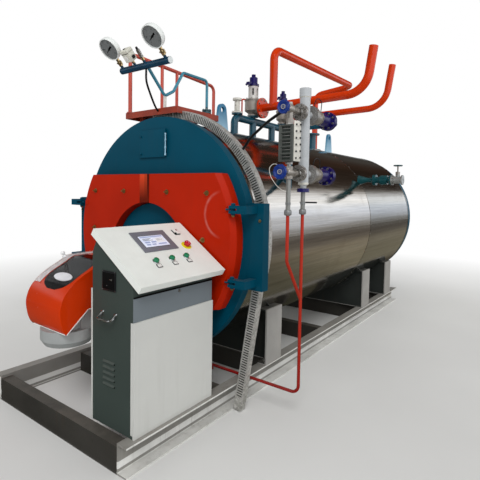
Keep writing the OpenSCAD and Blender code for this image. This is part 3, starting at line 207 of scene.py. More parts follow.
def buildZone():    # one where a point lies inside a box
    g, a, b = newGroup("zoneBox", [("Position", "NodeSocketVector", None), ("Low", "NodeSocketVector", None),
                                   ("High", "NodeSocketVector", None)], [("Mask", "NodeSocketFloat")])
    parts = []
    for label in ("Position", "Low", "High"):
        s = put(g, "ShaderNodeSeparateXYZ")
        g.links.new(a.outputs[label], s.inputs[0])
        parts.append(s)
    mask = None
    for axis in "XYZ":
        over = math2(g, "GREATER_THAN", parts[0].outputs[axis], parts[1].outputs[axis])
        under = math2(g, "LESS_THAN", parts[0].outputs[axis], parts[2].outputs[axis])
        one = math2(g, "MULTIPLY", over, under)
        mask = one if mask is None else math2(g, "MULTIPLY", mask, one)
    g.links.new(mask, b.inputs["Mask"])
    return g


weatherGroup, dustGroup, runsGroup, zoneGroup = buildWeather(), buildDust(), buildRuns(), buildZone()
print("node groups built")


# ---- materials ----
def rgb(hexText):    # picture colour to linear
    parts = [int(hexText[i:i + 2], 16) / 255 for i in (0, 2, 4)]
    return tuple(c / 12.92 if c <= 0.04045 else ((c + 0.055) / 1.055) ** 2.4 for c in parts) + (1.0,)


def useGroup(tree, group, where, **values):
    n = put(tree, "ShaderNodeGroup", node_tree=group)
    tree.links.new(where, n.inputs["Position"])
    for key, value in values.items():
        n.inputs[key].default_value = value
    return n


def mixColour(tree, mask, a, b, how="MIX"):
    n = put(tree, "ShaderNodeMix", data_type="RGBA", blend_type=how)
    for socket, value in ((n.inputs[0], mask), (n.inputs[6], a), (n.inputs[7], b)):
        if isinstance(value, (tuple, float, int)):
            socket.default_value = value
        else:
            tree.links.new(value, socket)
    return n.outputs[2]


def mixValue(tree, mask, a, b):
    n = put(tree, "ShaderNodeMix", data_type="FLOAT")
    for socket, value in ((n.inputs[0], mask), (n.inputs[2], a), (n.inputs[3], b)):
        if isinstance(value, (float, int)):
            socket.default_value = value
        else:
            tree.links.new(value, socket)
    return n.outputs[0]


def newMaterial(name):
    mat = bpy.data.materials.new(name)
    mat.use_nodes = True
    tree = mat.node_tree
    shader = tree.nodes["Principled BSDF"]
    coords = put(tree, "ShaderNodeTexCoord")
    return mat, tree, shader, coords.outputs["Object"]


def paintedArcReflection(tree, where, base, arc):    # pale arc streak painted into the base colour: a painted reflection
    away = put(tree, "ShaderNodeVectorMath", operation="DISTANCE")
    away.inputs[1].default_value = arc["at"]
    tree.links.new(stretched(tree, where, (1, 0, 1)), away.inputs[0])
    off = math2(tree, "ABSOLUTE", math2(tree, "SUBTRACT", away.outputs["Value"], arc["radius"]))
    split = put(tree, "ShaderNodeSeparateXYZ")
    tree.links.new(where, split.inputs[0])
    near = spread(tree, split.outputs["X"], arc["at"][0] - 0.02, arc["at"][0] - 0.12)
    broken = spread(tree, noise(tree, where, 14, 4, 0.6), 0.3, 0.6, 0.35, 1.0)
    mask = math2(tree, "MULTIPLY", math2(tree, "MULTIPLY", spread(tree, off, 0.016, 0.0), near), broken)
    return mixColour(tree, math2(tree, "MULTIPLY", mask, 0.42), base, rgb("D8948A"))


def finish(name, colour, rough=0.4, metal=0.0, coat=0.0, vary=0.16, dust=0.25, runs=0.0, patch=2.0, grain=160,
           peel=0.012, edge=0.003, gloss=0.3, dustColour="8C857A", runColour="4A3A2C", zones=(), fade=None, arc=None):
    mat, tree, shader, where = newMaterial(name)
    base, roughNow, metalNow = rgb(colour), rough, metal
    for z in zones:
        mask = useGroup(tree, zoneGroup, where, Low=z["low"], High=z["high"]).outputs["Mask"]
        base = mixColour(tree, mask, base, rgb(z["colour"]))
        if "rough" in z:
            roughNow = mixValue(tree, mask, roughNow, z["rough"])
        if "metal" in z:
            metalNow = mixValue(tree, mask, metalNow, z["metal"])
    if fade:
        split = put(tree, "ShaderNodeSeparateXYZ")
        tree.links.new(where, split.inputs[0])
        base = mixColour(tree, spread(tree, split.outputs["Z"], fade["low"], fade["high"]), base, rgb(fade["colour"]))
    if arc:
        base = paintedArcReflection(tree, where, base, arc)
    w = useGroup(tree, weatherGroup, where, **{"Patch Scale": patch, "Grain Scale": grain})
    shade = spread(tree, w.outputs["Shade"], 0.3, 0.7, 1 - vary, 1 + vary * 0.6)
    tint = put(tree, "ShaderNodeCombineColor")
    for i in range(3):
        tree.links.new(shade, tint.inputs[i])
    base = mixColour(tree, 1.0, base, tint.outputs[0], "MULTIPLY")
    if runs:
        r = useGroup(tree, runsGroup, where, Amount=runs)
        base = mixColour(tree, r.outputs["Mask"], base, rgb(runColour))
    if dust:
        d = useGroup(tree, dustGroup, where, Amount=dust)
        base = mixColour(tree, d.outputs["Mask"], base, rgb(dustColour))
        roughNow = mixValue(tree, d.outputs["Mask"], roughNow, 0.8)
    tree.links.new(base, shader.inputs["Base Color"])
    scuffed = mixValue(tree, w.outputs["Scuff"], roughNow, min(0.95, rough + 0.18))
    jitter = spread(tree, w.outputs["Grain"], 0.3, 0.7, -0.04, 0.04)
    tree.links.new(math2(tree, "ADD", scuffed, jitter, clamp=True), shader.inputs["Roughness"])
    if isinstance(metalNow, float) or isinstance(metalNow, int):
        shader.inputs["Metallic"].default_value = metalNow
    else:
        tree.links.new(metalNow, shader.inputs["Metallic"])
    shader.inputs["Specular IOR Level"].default_value = gloss
    shader.inputs["Coat Weight"].default_value = coat
    shader.inputs["Coat Roughness"].default_value = 0.08
    bump = put(tree, "ShaderNodeBump")
    bump.inputs["Strength"].default_value = 0.5
    bump.inputs["Distance"].default_value = peel * 0.02
    tree.links.new(w.outputs["Grain"], bump.inputs["Height"])
    if edge:
        soft = put(tree, "ShaderNodeBevel", samples=4)
        soft.inputs["Radius"].default_value = edge
        tree.links.new(soft.outputs[0], bump.inputs["Normal"])
    tree.links.new(bump.outputs[0], shader.inputs["Normal"])
    return mat


# the darkest tone here darkens the upper front of the drum: a painted dark reflection
claddingSet = {"axisHeight": 1.385, "sheet": "DAD8D5", "worn": "C3BFB8", "film": "9A8E7E", "rear": "AEB8BE", "lap": 2.763, "paintedDarkReflection": "6A605C", "rough": 0.07}


def makeCladding(s):    # rolled bright sheet: streaks run along the drum
    mat, tree, shader, where = newMaterial("polishedSheet")
    split = put(tree, "ShaderNodeSeparateXYZ")
    tree.links.new(where, split.inputs[0])
    angle = math2(tree, "ARCTAN2", math2(tree, "SUBTRACT", split.outputs["Z"], s["axisHeight"]), split.outputs["X"])
    roll = put(tree, "ShaderNodeCombineXYZ")
    tree.links.new(math2(tree, "MULTIPLY", angle, 7.0), roll.inputs["X"])
    tree.links.new(math2(tree, "MULTIPLY", split.outputs["Y"], 0.16), roll.inputs["Y"])
    broad = noise(tree, roll.outputs[0], 1.6, 3, 0.5)
    streak = noise(tree, roll.outputs[0], 6.5, 6, 0.62)
    hair = noise(tree, roll.outputs[0], 60, 3, 0.6)
    rows = spread(tree, broad, 0.35, 0.65)
    level = mixColour(tree, rows, rgb(s["sheet"]), rgb(s["worn"]))
    lines = spread(tree, streak, 0.3, 0.7, 0.76, 1.12)
    tint = put(tree, "ShaderNodeCombineColor")
    for i in range(3):
        tree.links.new(lines, tint.inputs[i])
    base = mixColour(tree, 1.0, level, tint.outputs[0], "MULTIPLY")
    smear = spread(tree, noise(tree, where, 1.7, 6, 0.6, 0.5), 0.55, 0.75)
    base = mixColour(tree, math2(tree, "MULTIPLY", smear, 0.28), base, rgb(s["film"]))
    # painted dark reflection: the upper front of the drum is multiplied darker where the dark roof and beam would be
    # reflected
    upper = math2(tree, "MULTIPLY", spread(tree, angle, 0.78, 1.0), spread(tree, split.outputs["Y"], 2.4, 1.4))
    base = mixColour(tree, upper, base, mixColour(tree, 1.0, base, rgb(s["paintedDarkReflection"]), "MULTIPLY"))
    behind = math2(tree, "GREATER_THAN", split.outputs["Y"], s["lap"])
    base = mixColour(tree, behind, base, mixColour(tree, 0.6, base, rgb(s["rear"]), "MULTIPLY"))
    tree.links.new(base, shader.inputs["Base Color"])
    shader.inputs["Metallic"].default_value = 1.0
    rough = math2(tree, "ADD", spread(tree, streak, 0.3, 0.7, s["rough"], s["rough"] + 0.09),
                  math2(tree, "MULTIPLY", smear, 0.08))
    tree.links.new(rough, shader.inputs["Roughness"])
    bump = put(tree, "ShaderNodeBump")
    bump.inputs["Strength"].default_value = 0.3
    bump.inputs["Distance"].default_value = 0.0016
    tree.links.new(math2(tree, "ADD", streak, math2(tree, "MULTIPLY", hair, 0.04)), bump.inputs["Height"])
    tree.links.new(bump.outputs[0], shader.inputs["Normal"])
    return mat


def makeSpangle():    # galvanised sheet with its crystal patches
    mat, tree, shader, where = newMaterial("galvanisedSheet")
    cells = put(tree, "ShaderNodeTexVoronoi")
    cells.inputs["Scale"].default_value = 70
    tree.links.new(where, cells.inputs["Vector"])
    value = put(tree, "ShaderNodeSeparateColor")
    tree.links.new(cells.outputs["Color"], value.inputs[0])
    base = mixColour(tree, value.outputs[0], rgb("A6A5A0"), rgb("D4D3CF"))
    w = useGroup(tree, weatherGroup, where, **{"Patch Scale": 3.0, "Grain Scale": 260})
    base = mixColour(tree, spread(tree, w.outputs["Shade"], 0.45, 0.7, 0.0, 0.55), base, rgb("9C9A93"))
    tree.links.new(base, shader.inputs["Base Color"])
    shader.inputs["Metallic"].default_value = 0.4
    tree.links.new(spread(tree, value.outputs[1], 0, 1, 0.34, 0.52), shader.inputs["Roughness"])
    bump = put(tree, "ShaderNodeBump")
    bump.inputs["Strength"].default_value = 0.15
    bump.inputs["Distance"].default_value = 0.0004
    tree.links.new(w.outputs["Grain"], bump.inputs["Height"])
    tree.links.new(bump.outputs[0], shader.inputs["Normal"])
    return mat


def makeChequer():    # raised bars on the walkway plate
    mat, tree, shader, where = newMaterial("chequerPlate")
    split = put(tree, "ShaderNodeSeparateXYZ")
    tree.links.new(where, split.inputs[0])
    bars = []
    for sign in (1, -1):
        along = math2(tree, "ADD", split.outputs["X"], math2(tree, "MULTIPLY", split.outputs["Y"], sign))
        across = math2(tree, "SUBTRACT", split.outputs["X"], math2(tree, "MULTIPLY", split.outputs["Y"], sign))
        a = math2(tree, "SINE", math2(tree, "MULTIPLY", along, 150))
        b = math2(tree, "SINE", math2(tree, "ADD", math2(tree, "MULTIPLY", across, 75), sign))
        bars.append(math2(tree, "MULTIPLY", spread(tree, a, 0.55, 0.95), spread(tree, b, 0.2, 0.6)))
    raised = math2(tree, "MAXIMUM", bars[0], bars[1])
    geo = put(tree, "ShaderNodeNewGeometry")
    up = put(tree, "ShaderNodeSeparateXYZ")
    tree.links.new(geo.outputs["Normal"], up.inputs[0])
    raised = math2(tree, "MULTIPLY", raised, math2(tree, "GREATER_THAN", up.outputs["Z"], 0.9))
    w = useGroup(tree, weatherGroup, where, **{"Patch Scale": 4.0, "Grain Scale": 150})
    base = mixColour(tree, spread(tree, w.outputs["Shade"], 0.35, 0.7), rgb("A83818"), rgb("862810"))
    base = mixColour(tree, math2(tree, "MULTIPLY", raised, 0.4), base, rgb("9A6A55"))
    d = useGroup(tree, dustGroup, where, Amount=0.45)
    base = mixColour(tree, d.outputs["Mask"], base, rgb("8C7F72"))
    tree.links.new(base, shader.inputs["Base Color"])
    tree.links.new(spread(tree, w.outputs["Grain"], 0.3, 0.7, 0.36, 0.5), shader.inputs["Roughness"])
    bump = put(tree, "ShaderNodeBump")
    bump.inputs["Strength"].default_value = 0.8
    bump.inputs["Distance"].default_value = 0.0015
    tree.links.new(raised, bump.inputs["Height"])
    tree.links.new(bump.outputs[0], shader.inputs["Normal"])
    return mat


def makeScreen():    # lit operator screen
    mat, tree, shader, where = newMaterial("screenGlass")
    w = useGroup(tree, weatherGroup, where, **{"Patch Scale": 9.0, "Grain Scale": 400})
    base = mixColour(tree, spread(tree, w.outputs["Shade"], 0.35, 0.65), rgb("C9D0E6"), rgb("E2E6F2"))
    tree.links.new(base, shader.inputs["Base Color"])
    tree.links.new(base, shader.inputs["Emission Color"])
    shader.inputs["Emission Strength"].default_value = 0.25
    tree.links.new(spread(tree, w.outputs["Scuff"], 0, 1, 0.08, 0.25), shader.inputs["Roughness"])
    return mat


navy, cast, pale, teal = "140D58", "A8A29A", "DEDCD8", "024A5E"
mats = {
    "sheet": makeCladding(claddingSet),
    "spangle": makeSpangle(),
    "chequer": makeChequer(),
    "blue": finish("petrolBluePaint", "00485E", 0.34, vary=0.2, dust=0.1, runs=0.08, patch=1.3, gloss=0.08),
    # the arc on the right door is a painted reflection streak
    "red": finish("vermilionPaint", "B42000", 0.34, vary=0.16, dust=0.06, runs=0.06, patch=1.6, gloss=0.09,
                  arc={"at": (0.87, 0, 1.60), "radius": 0.18}),
    # painted light and shade: a lit orange edge face, a darker band and the shadowed gap between the doors, darker
    # towards the bottom
    "closingEdge": finish("doorEdgeLitAndGapShadow", "D84420", 0.34, vary=0.12, dust=0.06, patch=1.6, gloss=0.09, edge=0.001,
                          zones=[{"low": (-0.022, -1, 1.6), "high": (0.014, 0, 2), "colour": "B83C18"},
                                 {"low": (0.014, -1, 1.6), "high": (0.04, 0, 2), "colour": "4A1008"}],
                          fade={"low": 1.90, "high": 1.70, "colour": "6A1804"}),
    "hoodRed": finish("hoodPaint", "CA3402", 0.16, vary=0.1, dust=0.04, patch=2.2, peel=0.002, edge=0, gloss=0.3),
    "greyCast": finish("fanCasting", "B4B8B8", 0.5, metal=0.35, vary=0.2, dust=0.3, grain=90, peel=0.05),
    "darkCast": finish("headCasting", "55585A", 0.55, metal=0.6, vary=0.25, dust=0.3, grain=90, peel=0.05),
    # painted highlights: a bright band across the beam webs and pale lines along the flange edges stand for light
    # caught on the beams
    "skid": finish("skidPrimerPaintedHighlights", "8E8C87", 0.34, vary=0.24, dust=0.3, runs=0.3, patch=2.6, grain=110, peel=0.03, gloss=0.6,
                   zones=[{"low": (-1, -2, 0.04), "high": (1, 5, 0.085), "colour": "E6E6E3", "rough": 0.22},
                          {"low": (-1, -2, 0.0125), "high": (1, 5, 0.02), "colour": "D8D8D4", "rough": 0.25},
                          {"low": (0.857, -2, 0.1), "high": (1, 5, 0.2025), "colour": "E2E2DE"},
                          {"low": (-1, -2, 0.1), "high": (-0.857, 5, 0.2025), "colour": "E2E2DE"},
                          {"low": (0.857, -2, 0), "high": (1, 5, 0.013), "colour": "D8D8D4"},
                          {"low": (-1, -2, 0), "high": (-0.857, 5, 0.013), "colour": "D8D8D4"}]),
    # painted shade: the saddle webs under the drum are coloured near black for the shadow there
    "saddle": finish("saddlePrimerPaintedShade", "A2A09C", 0.5, vary=0.2, dust=0.3, runs=0.3, patch=2.4, grain=110, peel=0.04,
                     zones=[{"low": (-0.842, 0, 0.21), "high": (0.842, 5, 1.2), "colour": "2C302E"}]),
    # painted shade: the lug fades to a darker blue towards its top
    "lug": finish("lugPaint", "9CC8DE", 0.34, gloss=0.5, vary=0.12, dust=0.2, patch=6,
                  fade={"low": 2.45, "high": 2.66, "colour": "2F7FA6"}),
    "orange": finish("pipeOrange", "D03808", 0.12, vary=0.1, dust=0.06, patch=3, peel=0.002, gloss=0.42),
    "rail": finish("railPaint", "C85444", 0.16, gloss=0.45, vary=0.12, dust=0.2, patch=4, peel=0.003),
    "teal": finish("tealPaint", teal, 0.22, gloss=0.7, vary=0.2, dust=0.2, patch=5, peel=0.004),
    "header": finish("headerPaint", "063C58", 0.24, gloss=0.6, vary=0.18, dust=0.15, patch=6, peel=0.004,
                     zones=[{"low": (0.3015, -1, 2), "high": (0.32, 0, 4), "colour": "DDE3E3"},
                            {"low": (-0.335, -1, 2), "high": (-0.3215, 0, 4), "colour": "4A3A30"}]),
    "syphon": finish("syphonPaint", "34869E", 0.22, gloss=0.8, vary=0.15, dust=0.15, patch=8, peel=0.003,
                     zones=[{"low": (-0.1, 0.6, 2.3), "high": (0.1, 0.76, 2.635), "colour": "1A4E58"}]),
    "whiteCase": finish("gaugeEnamel", "F2F6F4", 0.24, gloss=0.5, vary=0.04, dust=0.06, patch=12, peel=0.0, edge=0),
    "unionGrey": finish("unionCasting", "8E9090", 0.45, metal=0.5, vary=0.15, dust=0.2, patch=20, edge=0.001),
    "trunkDark": finish("trunkingShade", "0A0A0A", 0.9, gloss=0.0, vary=0.2, dust=0.2, patch=9, edge=0),
    # painted shade: the cross members are coloured dark for the deep shadow under the boiler
    "member": finish("memberPrimerPaintedShade", "3C3A36", 0.5, vary=0.26, dust=0.3, runs=0.3, patch=2.4, grain=110, peel=0.04),
    "strut": finish("strutEnamel", "E2E0D8", 0.4, vary=0.1, dust=0.2, patch=8),
    "box": finish("switchPlastic", "DAD9CC", 0.45, vary=0.08, dust=0.2, patch=14, edge=0),
    "brass": finish("brassFitting", "D2B98A", 0.3, metal=1.0, vary=0.2, dust=0.1, patch=30, grain=300, edge=0.001),
    "studBrass": finish("studBrass", "A8905E", 0.34, metal=0.9, vary=0.25, dust=0.1, patch=30, grain=300, edge=0.001),
    "steel": finish("zincSteel", "B8B6B0", 0.34, metal=1.0, vary=0.2, dust=0.1, patch=20, grain=260, edge=0.001),
    "blackPart": finish("blackPlastic", "16171A", 0.4, vary=0.2, dust=0.2, patch=10, edge=0.001),
    "castSteel": finish("castSteel", cast, 0.4, metal=0.7, vary=0.2, dust=0.15, patch=12, grain=90, peel=0.012),
    "navy": finish("navyEnamel", navy, 0.18, gloss=0.5, vary=0.2, dust=0.06, patch=10, peel=0.004),
    "wheelBlue": finish("wheelEnamel", "10307E", 0.2, gloss=0.5, vary=0.15, dust=0.1, patch=14, edge=0.001),
    "column": finish("columnPaint", "B6BABD", 0.26, gloss=0.6, vary=0.1, dust=0.15, patch=5, runs=0.12, peel=0.004,
                     zones=[{"low": (1.2, -1, 1.7), "high": (1.5, 1, 1.8125), "colour": navy},
                            {"low": (1.2, 0.13, 1.82), "high": (1.5, 0.1745, 2.47), "colour": "9E9A96", "metal": 0.6},
                            {"low": (1.2, 0.307, 1.82), "high": (1.5, 0.40, 2.5), "colour": "9A9793", "metal": 0.6}]),
    "levelValve": finish("levelValveCasting", cast, 0.36, metal=0.6, vary=0.2, dust=0.12, patch=12, grain=90, peel=0.01,
                         zones=[{"low": (1.2, 0.30, 1.7), "high": (1.5, 0.3503, 2.6), "colour": "9A9691"},
                                {"low": (1.2, 0.4602, 1.7), "high": (1.5, 0.6585, 2.6), "colour": navy,
                                 "rough": 0.24, "metal": 0.0},
                                {"low": (0.5, 0.6585, 1.5), "high": (1.5, 1.5, 2.6), "colour": teal,
                                 "rough": 0.36, "metal": 0.0}]),
    "safetyFront": finish("safetyValveFrontFinish", cast, 0.48, metal=0.45, vary=0.2, dust=0.3, patch=12, grain=120,
                          zones=[{"low": (-0.063, 1.451, 2.8655), "high": (0.063, 1.577, 3.0215), "colour": pale,
                                  "metal": 0.15},
                                 {"low": (-0.2, 1.3, 3.0215), "high": (0.2, 1.7, 3.4), "colour": navy, "rough": 0.24,
                                  "metal": 0.0}]),
    "safetyRear": finish("safetyValveRearFinish", cast, 0.48, metal=0.45, vary=0.2, dust=0.3, patch=12, grain=120,
                         zones=[{"low": (-0.055, 2.145, 2.8465), "high": (0.055, 2.255, 2.9835), "colour": pale,
                                 "metal": 0.15},
                                {"low": (-0.2, 2.0, 2.9835), "high": (0.2, 2.4, 3.4), "colour": navy, "rough": 0.24,
                                 "metal": 0.0}]),
    "manifold": finish("manifoldPaint", teal, 0.22, gloss=0.7, vary=0.2, dust=0.2, patch=5, peel=0.004,
                       zones=[{"low": (-0.012, 1.275, 2.655), "high": (0.012, 1.375, 2.86), "colour": "C8452E"}]),
    "spool": finish("spoolEnamel", "DAD8CF", 0.4, vary=0.12, dust=0.3, runs=0.2, patch=9),
    "cable": finish("cableSheath", "101112", 0.38, vary=0.2, dust=0.35, patch=9, edge=0),
    "chrome": finish("chromeRod", "D5D6D8", 0.12, metal=1.0, vary=0.06, dust=0.06, patch=20, edge=0),
    "hoodGrey": finish("hoodBandGrey", "FAFBFC", 0.4, gloss=0.1, vary=0.06, dust=0.15, patch=6, edge=0),
    "hoodTrim": finish("hoodTrimWhite", "F8F7F3", 0.35, vary=0.06, dust=0.1, patch=8, edge=0),
    "badgeSilver": finish("bareBadge", "E4E4E8", 0.34, metal=0.1, vary=0.08, dust=0.05, patch=14, edge=0),
    "silver": finish("brushedBadge", "C9C6C2", 0.3, metal=0.6, vary=0.1, dust=0.05, patch=20, edge=0),
    "smoked": finish("smokedWindow", "040303", 0.1, gloss=0.22, vary=0.3, dust=0.0, patch=4, peel=0.0, edge=0),
    "windowGlass": finish("gaugeWindow", "262C28", 0.14, gloss=0.5, vary=0.2, dust=0.2, patch=12, edge=0),
    "drain": finish("drainPaint", "AE2E1E", 0.16, gloss=0.4, vary=0.16, dust=0.12, patch=5, peel=0.004,
                    fade={"low": 0.9, "high": 0.3, "colour": "8E1A16"},
                    zones=[{"low": (1.2, -1, 1.6242), "high": (1.5, 1, 2.2), "colour": "9C9D99", "metal": 0.6,
                            "rough": 0.45},
                           {"low": (0.46, 0, 0.15), "high": (0.51, 0.5, 0.2095), "colour": "8F8B84"}]),
    "feed": finish("feedPaint", "04464C", 0.2, gloss=0.6, vary=0.2, dust=0.12, patch=8, peel=0.004,
                   zones=[{"low": (1.2878, 2.5, 1.8), "high": (1.5, 2.9, 2.02), "colour": "A9ACAA", "metal": 0.5},
                          {"low": (1.3, 2.6, 2.02), "high": (1.42, 2.8, 2.125), "colour": cast, "metal": 0.5}]),
    "cream": finish("consoleCream", "ECEFEA", 0.42, vary=0.06, dust=0.12, patch=1.6, grain=420, peel=0.02,
                    runs=0.04),
    "creamPanel": finish("consolePanelPaint", "CDCECA", 0.42, vary=0.06, dust=0.12, patch=1.6, grain=420,
                         runs=0.05, zones=[{"low": (0.81, -1, 0.9505), "high": (0.83, 0, 1.12),
                                            "colour": "757E84"}]),
    "consoleDark": finish("consoleCharcoal", "3D4844", 0.44, vary=0.1, dust=0.2, patch=1.8, grain=420,
                          peel=0.02),
    "bezel": finish("bezelPlastic", "72727C", 0.42, vary=0.08, dust=0.1, patch=12, edge=0.001),
    # painted shade: the white dial is coloured mid grey for the shade it sits in
    "dialFace": finish("dialPaperPaintedShade", "767A7B", 0.3, vary=0.08, dust=0.0, patch=14, edge=0, gloss=0.5),
    "ink": finish("dialInk", "0E0E0E", 0.75, gloss=0.1, vary=0.1, dust=0.0, patch=20, edge=0),
    "mark": finish("redMark", "B01810", 0.45, vary=0.1, dust=0.0, patch=20, edge=0),
    "stopRed": finish("stopButtonRed", "C3122A", 0.25, coat=0.5, vary=0.08, dust=0.05, patch=20, edge=0),
    "stopYellow": finish("stopRingYellow", "E2D21C", 0.4, vary=0.08, dust=0.05, patch=20, edge=0.001),
    "buttonGreen": finish("buttonGreen", "0B7A50", 0.25, coat=0.5, vary=0.08, dust=0.05, patch=20, edge=0),
    "tag": finish("tagWhite", "E8E8E4", 0.5, vary=0.05, dust=0.05, patch=20, edge=0),
    "darkSlot": finish("windowDark", "232322", 0.2, coat=0.5, vary=0.3, dust=0.1, patch=18, edge=0),
    "gaugeFrame": finish("gaugeFramePaint", "5C605C", 0.4, metal=0.3, vary=0.15, dust=0.3, patch=14, grain=140),
    "screenBlue": finish("screenFieldBlue", "A9B6DC", 0.2, vary=0.05, dust=0.0, patch=30, edge=0),
    "screenPale": finish("screenFieldPale", "F0F2F6", 0.2, vary=0.04, dust=0.0, patch=30, edge=0),
    "screen": makeScreen(),
}
nodeFinish = {
    "shell_cladding": "sheet", "front_smokebox": "blue", "inspection_cover": "blue", "left_front_door": "red",
    "right_front_door": "red", "furnace_front_plate": "blue", "right_hinge_bracket": "blue",
    "left_hinge_bracket": "blue", "burner_hood": "hoodRed", "burner_base": "greyCast", "burner_head": "darkCast",
    "rear_smokebox": "blue", "flue_outlet": "blue", "skid_beam_right": "skid", "skid_beam_left": "skid",
    "skid_cross_members": "member", "saddle_front": "saddle", "saddle_middle": "saddle", "saddle_rear": "saddle",
    "cable_tray_arch": "spangle", "cable_tray_drop": "spangle", "lifting_lugs": "lug", "top_platform": "chequer",
    "handrail": "rail", "gauge_header": "header", "header_strut": "strut", "gauge_left": "whiteCase",
    "gauge_right": "whiteCase", "pressure_switch": "box", "syphon_pipe": "syphon", "steam_manifold": "manifold",
    "vent_spool": "spool", "safety_valve_front": "safetyFront", "safety_valve_rear": "safetyRear",
    "discharge_pipe_front": "orange", "discharge_pipe_rear": "orange", "vent_loop": "orange",
    "steam_outlet": "teal", "level_column": "column", "level_valve_upper": "levelValve",
    "level_valve_lower": "levelValve", "level_gauge": "castSteel", "level_cocks": "castSteel",
    "level_drains": "drain", "feedwater_valves": "feed", "console_body": "consoleDark", "console_desk": "cream",
    "console_front_panel": "creamPanel", "console_controls": "bezel", "gauge_cable": "cable", "level_cable": "cable",
}
for nodeName, key in nodeFinish.items():
    for matSlot in nodes[nodeName].material_slots:
        matSlot.material = mats[key]
for piece in cordPieces:
    piece.data.materials.append(mats["cable"])
print("materials on", len(nodeFinish), "nodes")


# ---- floor, light and reflection cards ----
def makeStage():
    bm = bmesh.new()
    bmesh.ops.create_grid(bm, x_segments=1, y_segments=1, size=45)
    mesh = bpy.data.meshes.new("floor")
    bm.to_mesh(mesh)
    bm.free()
    floor = bpy.data.objects.new("floor", mesh)
    bpy.context.collection.objects.link(floor)
    mat, tree, shader, where = newMaterial("paleFloor")
    shade = noise(tree, where, 0.8, 5, 0.5)
    tree.links.new(mixColour(tree, shade, rgb("DADAD8"), rgb("E6E6E4")), shader.inputs["Base Color"])
    tree.links.new(spread(tree, shade, 0.3, 0.7, 0.6, 0.75), shader.inputs["Roughness"])
    shader.inputs["Specular IOR Level"].default_value = 0.2
    # plain white far from the object
    away = put(tree, "ShaderNodeVectorMath", operation="DISTANCE")
    away.inputs[1].default_value = (0.2, 1.9, 0)
    tree.links.new(where, away.inputs[0])
    glow = put(tree, "ShaderNodeEmission")
    glow.inputs["Color"].default_value = (1, 1, 1, 1)
    both = put(tree, "ShaderNodeMixShader")
    tree.links.new(spread(tree, away.outputs["Value"], 3.6, 8.5), both.inputs[0])
    tree.links.new(shader.outputs[0], both.inputs[1])
    tree.links.new(glow.outputs[0], both.inputs[2])
    tree.links.new(both.outputs[0], tree.nodes["Material Output"].inputs["Surface"])
    mesh.materials.append(mat)
    world = bpy.data.worlds.new("studio")
    world.use_nodes = True
    bpy.context.scene.world = world
    tree = world.node_tree
    back = tree.nodes["Background"]
    path = put(tree, "ShaderNodeLightPath")
    seen = math2(tree, "MAXIMUM", path.outputs["Is Camera Ray"],
                 math2(tree, "MAXIMUM", path.outputs["Is Glossy Ray"], path.outputs["Is Transmission Ray"]))
    back.inputs["Color"].default_value = (1, 1, 1, 1)
    tree.links.new(mixValue(tree, seen, 0.50, 1.0), back.inputs["Strength"])


hallSet = {"axis": 1.385, "radius": 7.6, "start": -14, "end": 60, "low": -10, "high": 190, "power": 1.45,
           "round": [(-10, "66625C"), (-5, "84827F"), (0, "ACAEB2"), (11, "CACED6"), (20, "DDE2EA"), (29, "FBFCFD"),
                     (35, "F2F3F5"), (42, "BEBCBA"), (47, "6A645E"), (54, "302822"), (80, "241C16"), (100, "30221A"),
                     (120, "3C3834"), (142, "35322E"), (152, "B8BABC"), (162, "DADCDE"), (170, "5A5650"), (190, "3A3630")],
           "ground": [(0.0, "2E2A22"), (0.6, "3A352B"), (0.82, "686254"), (1.2, "706A59"), (2.5, "787061"),
                      (3.3, "5E5850"), (4.4, "544E48"), (5.3, "5A554F"), (6.6, "605C56"), (7.6, "66625C")],
           "front": [(-1.0, "242220"), (4.9, "242220"), (5.3, "C4C6C8"), (6.2, "C8CACC"), (6.6, "242220"), (9.0, "201D1A")]}


def hallCloth(name, s, which):    # glow by angle round the drum, or by distance from its middle line
    mat, tree, shader, where = newMaterial(name)
    split = put(tree, "ShaderNodeSeparateXYZ")
    tree.links.new(where, split.inputs[0])
    stops = s[which]
    first, last = stops[0][0], stops[-1][0]
    if which == "round":
        high = math2(tree, "SUBTRACT", split.outputs["Z"], s["axis"])
        value = math2(tree, "DEGREES", math2(tree, "ARCTAN2", high, split.outputs["X"]))
        value = math2(tree, "WRAP", value, 350, -10)
    elif which == "front":
        value = split.outputs["Z"]
    else:
        value = math2(tree, "ABSOLUTE", split.outputs["X"])
    sway = noise(tree, stretched(tree, where, (1, 0.12, 1)), 1.1, 3, 0.5)
    value = math2(tree, "ADD", value, math2(tree, "MULTIPLY", math2(tree, "SUBTRACT", sway, 0.5), (last - first) * 0.02))
    ramp = put(tree, "ShaderNodeValToRGB")
    ramp.color_ramp.elements[0].color = rgb(stops[0][1])
    ramp.color_ramp.elements[1].color = rgb(stops[-1][1])
    for at, tone in stops[1:-1]:
        ramp.color_ramp.elements.new((at - first) / (last - first)).color = rgb(tone)
    tree.links.new(spread(tree, value, first, last), ramp.inputs[0])
    colour = ramp.outputs[0]
    if which == "ground":
        near = spread(tree, split.outputs["Y"], 2.2, 4.8, 0.62, 0.0)
        colour = mixColour(tree, near, colour, rgb("20231C"))
    shader.inputs["Base Color"].default_value = (0, 0, 0, 1)
    shader.inputs["Specular IOR Level"].default_value = 0.0
    tree.links.new(colour, shader.inputs["Emission Color"])
    shader.inputs["Emission Strength"].default_value = s["power"]
    return mat


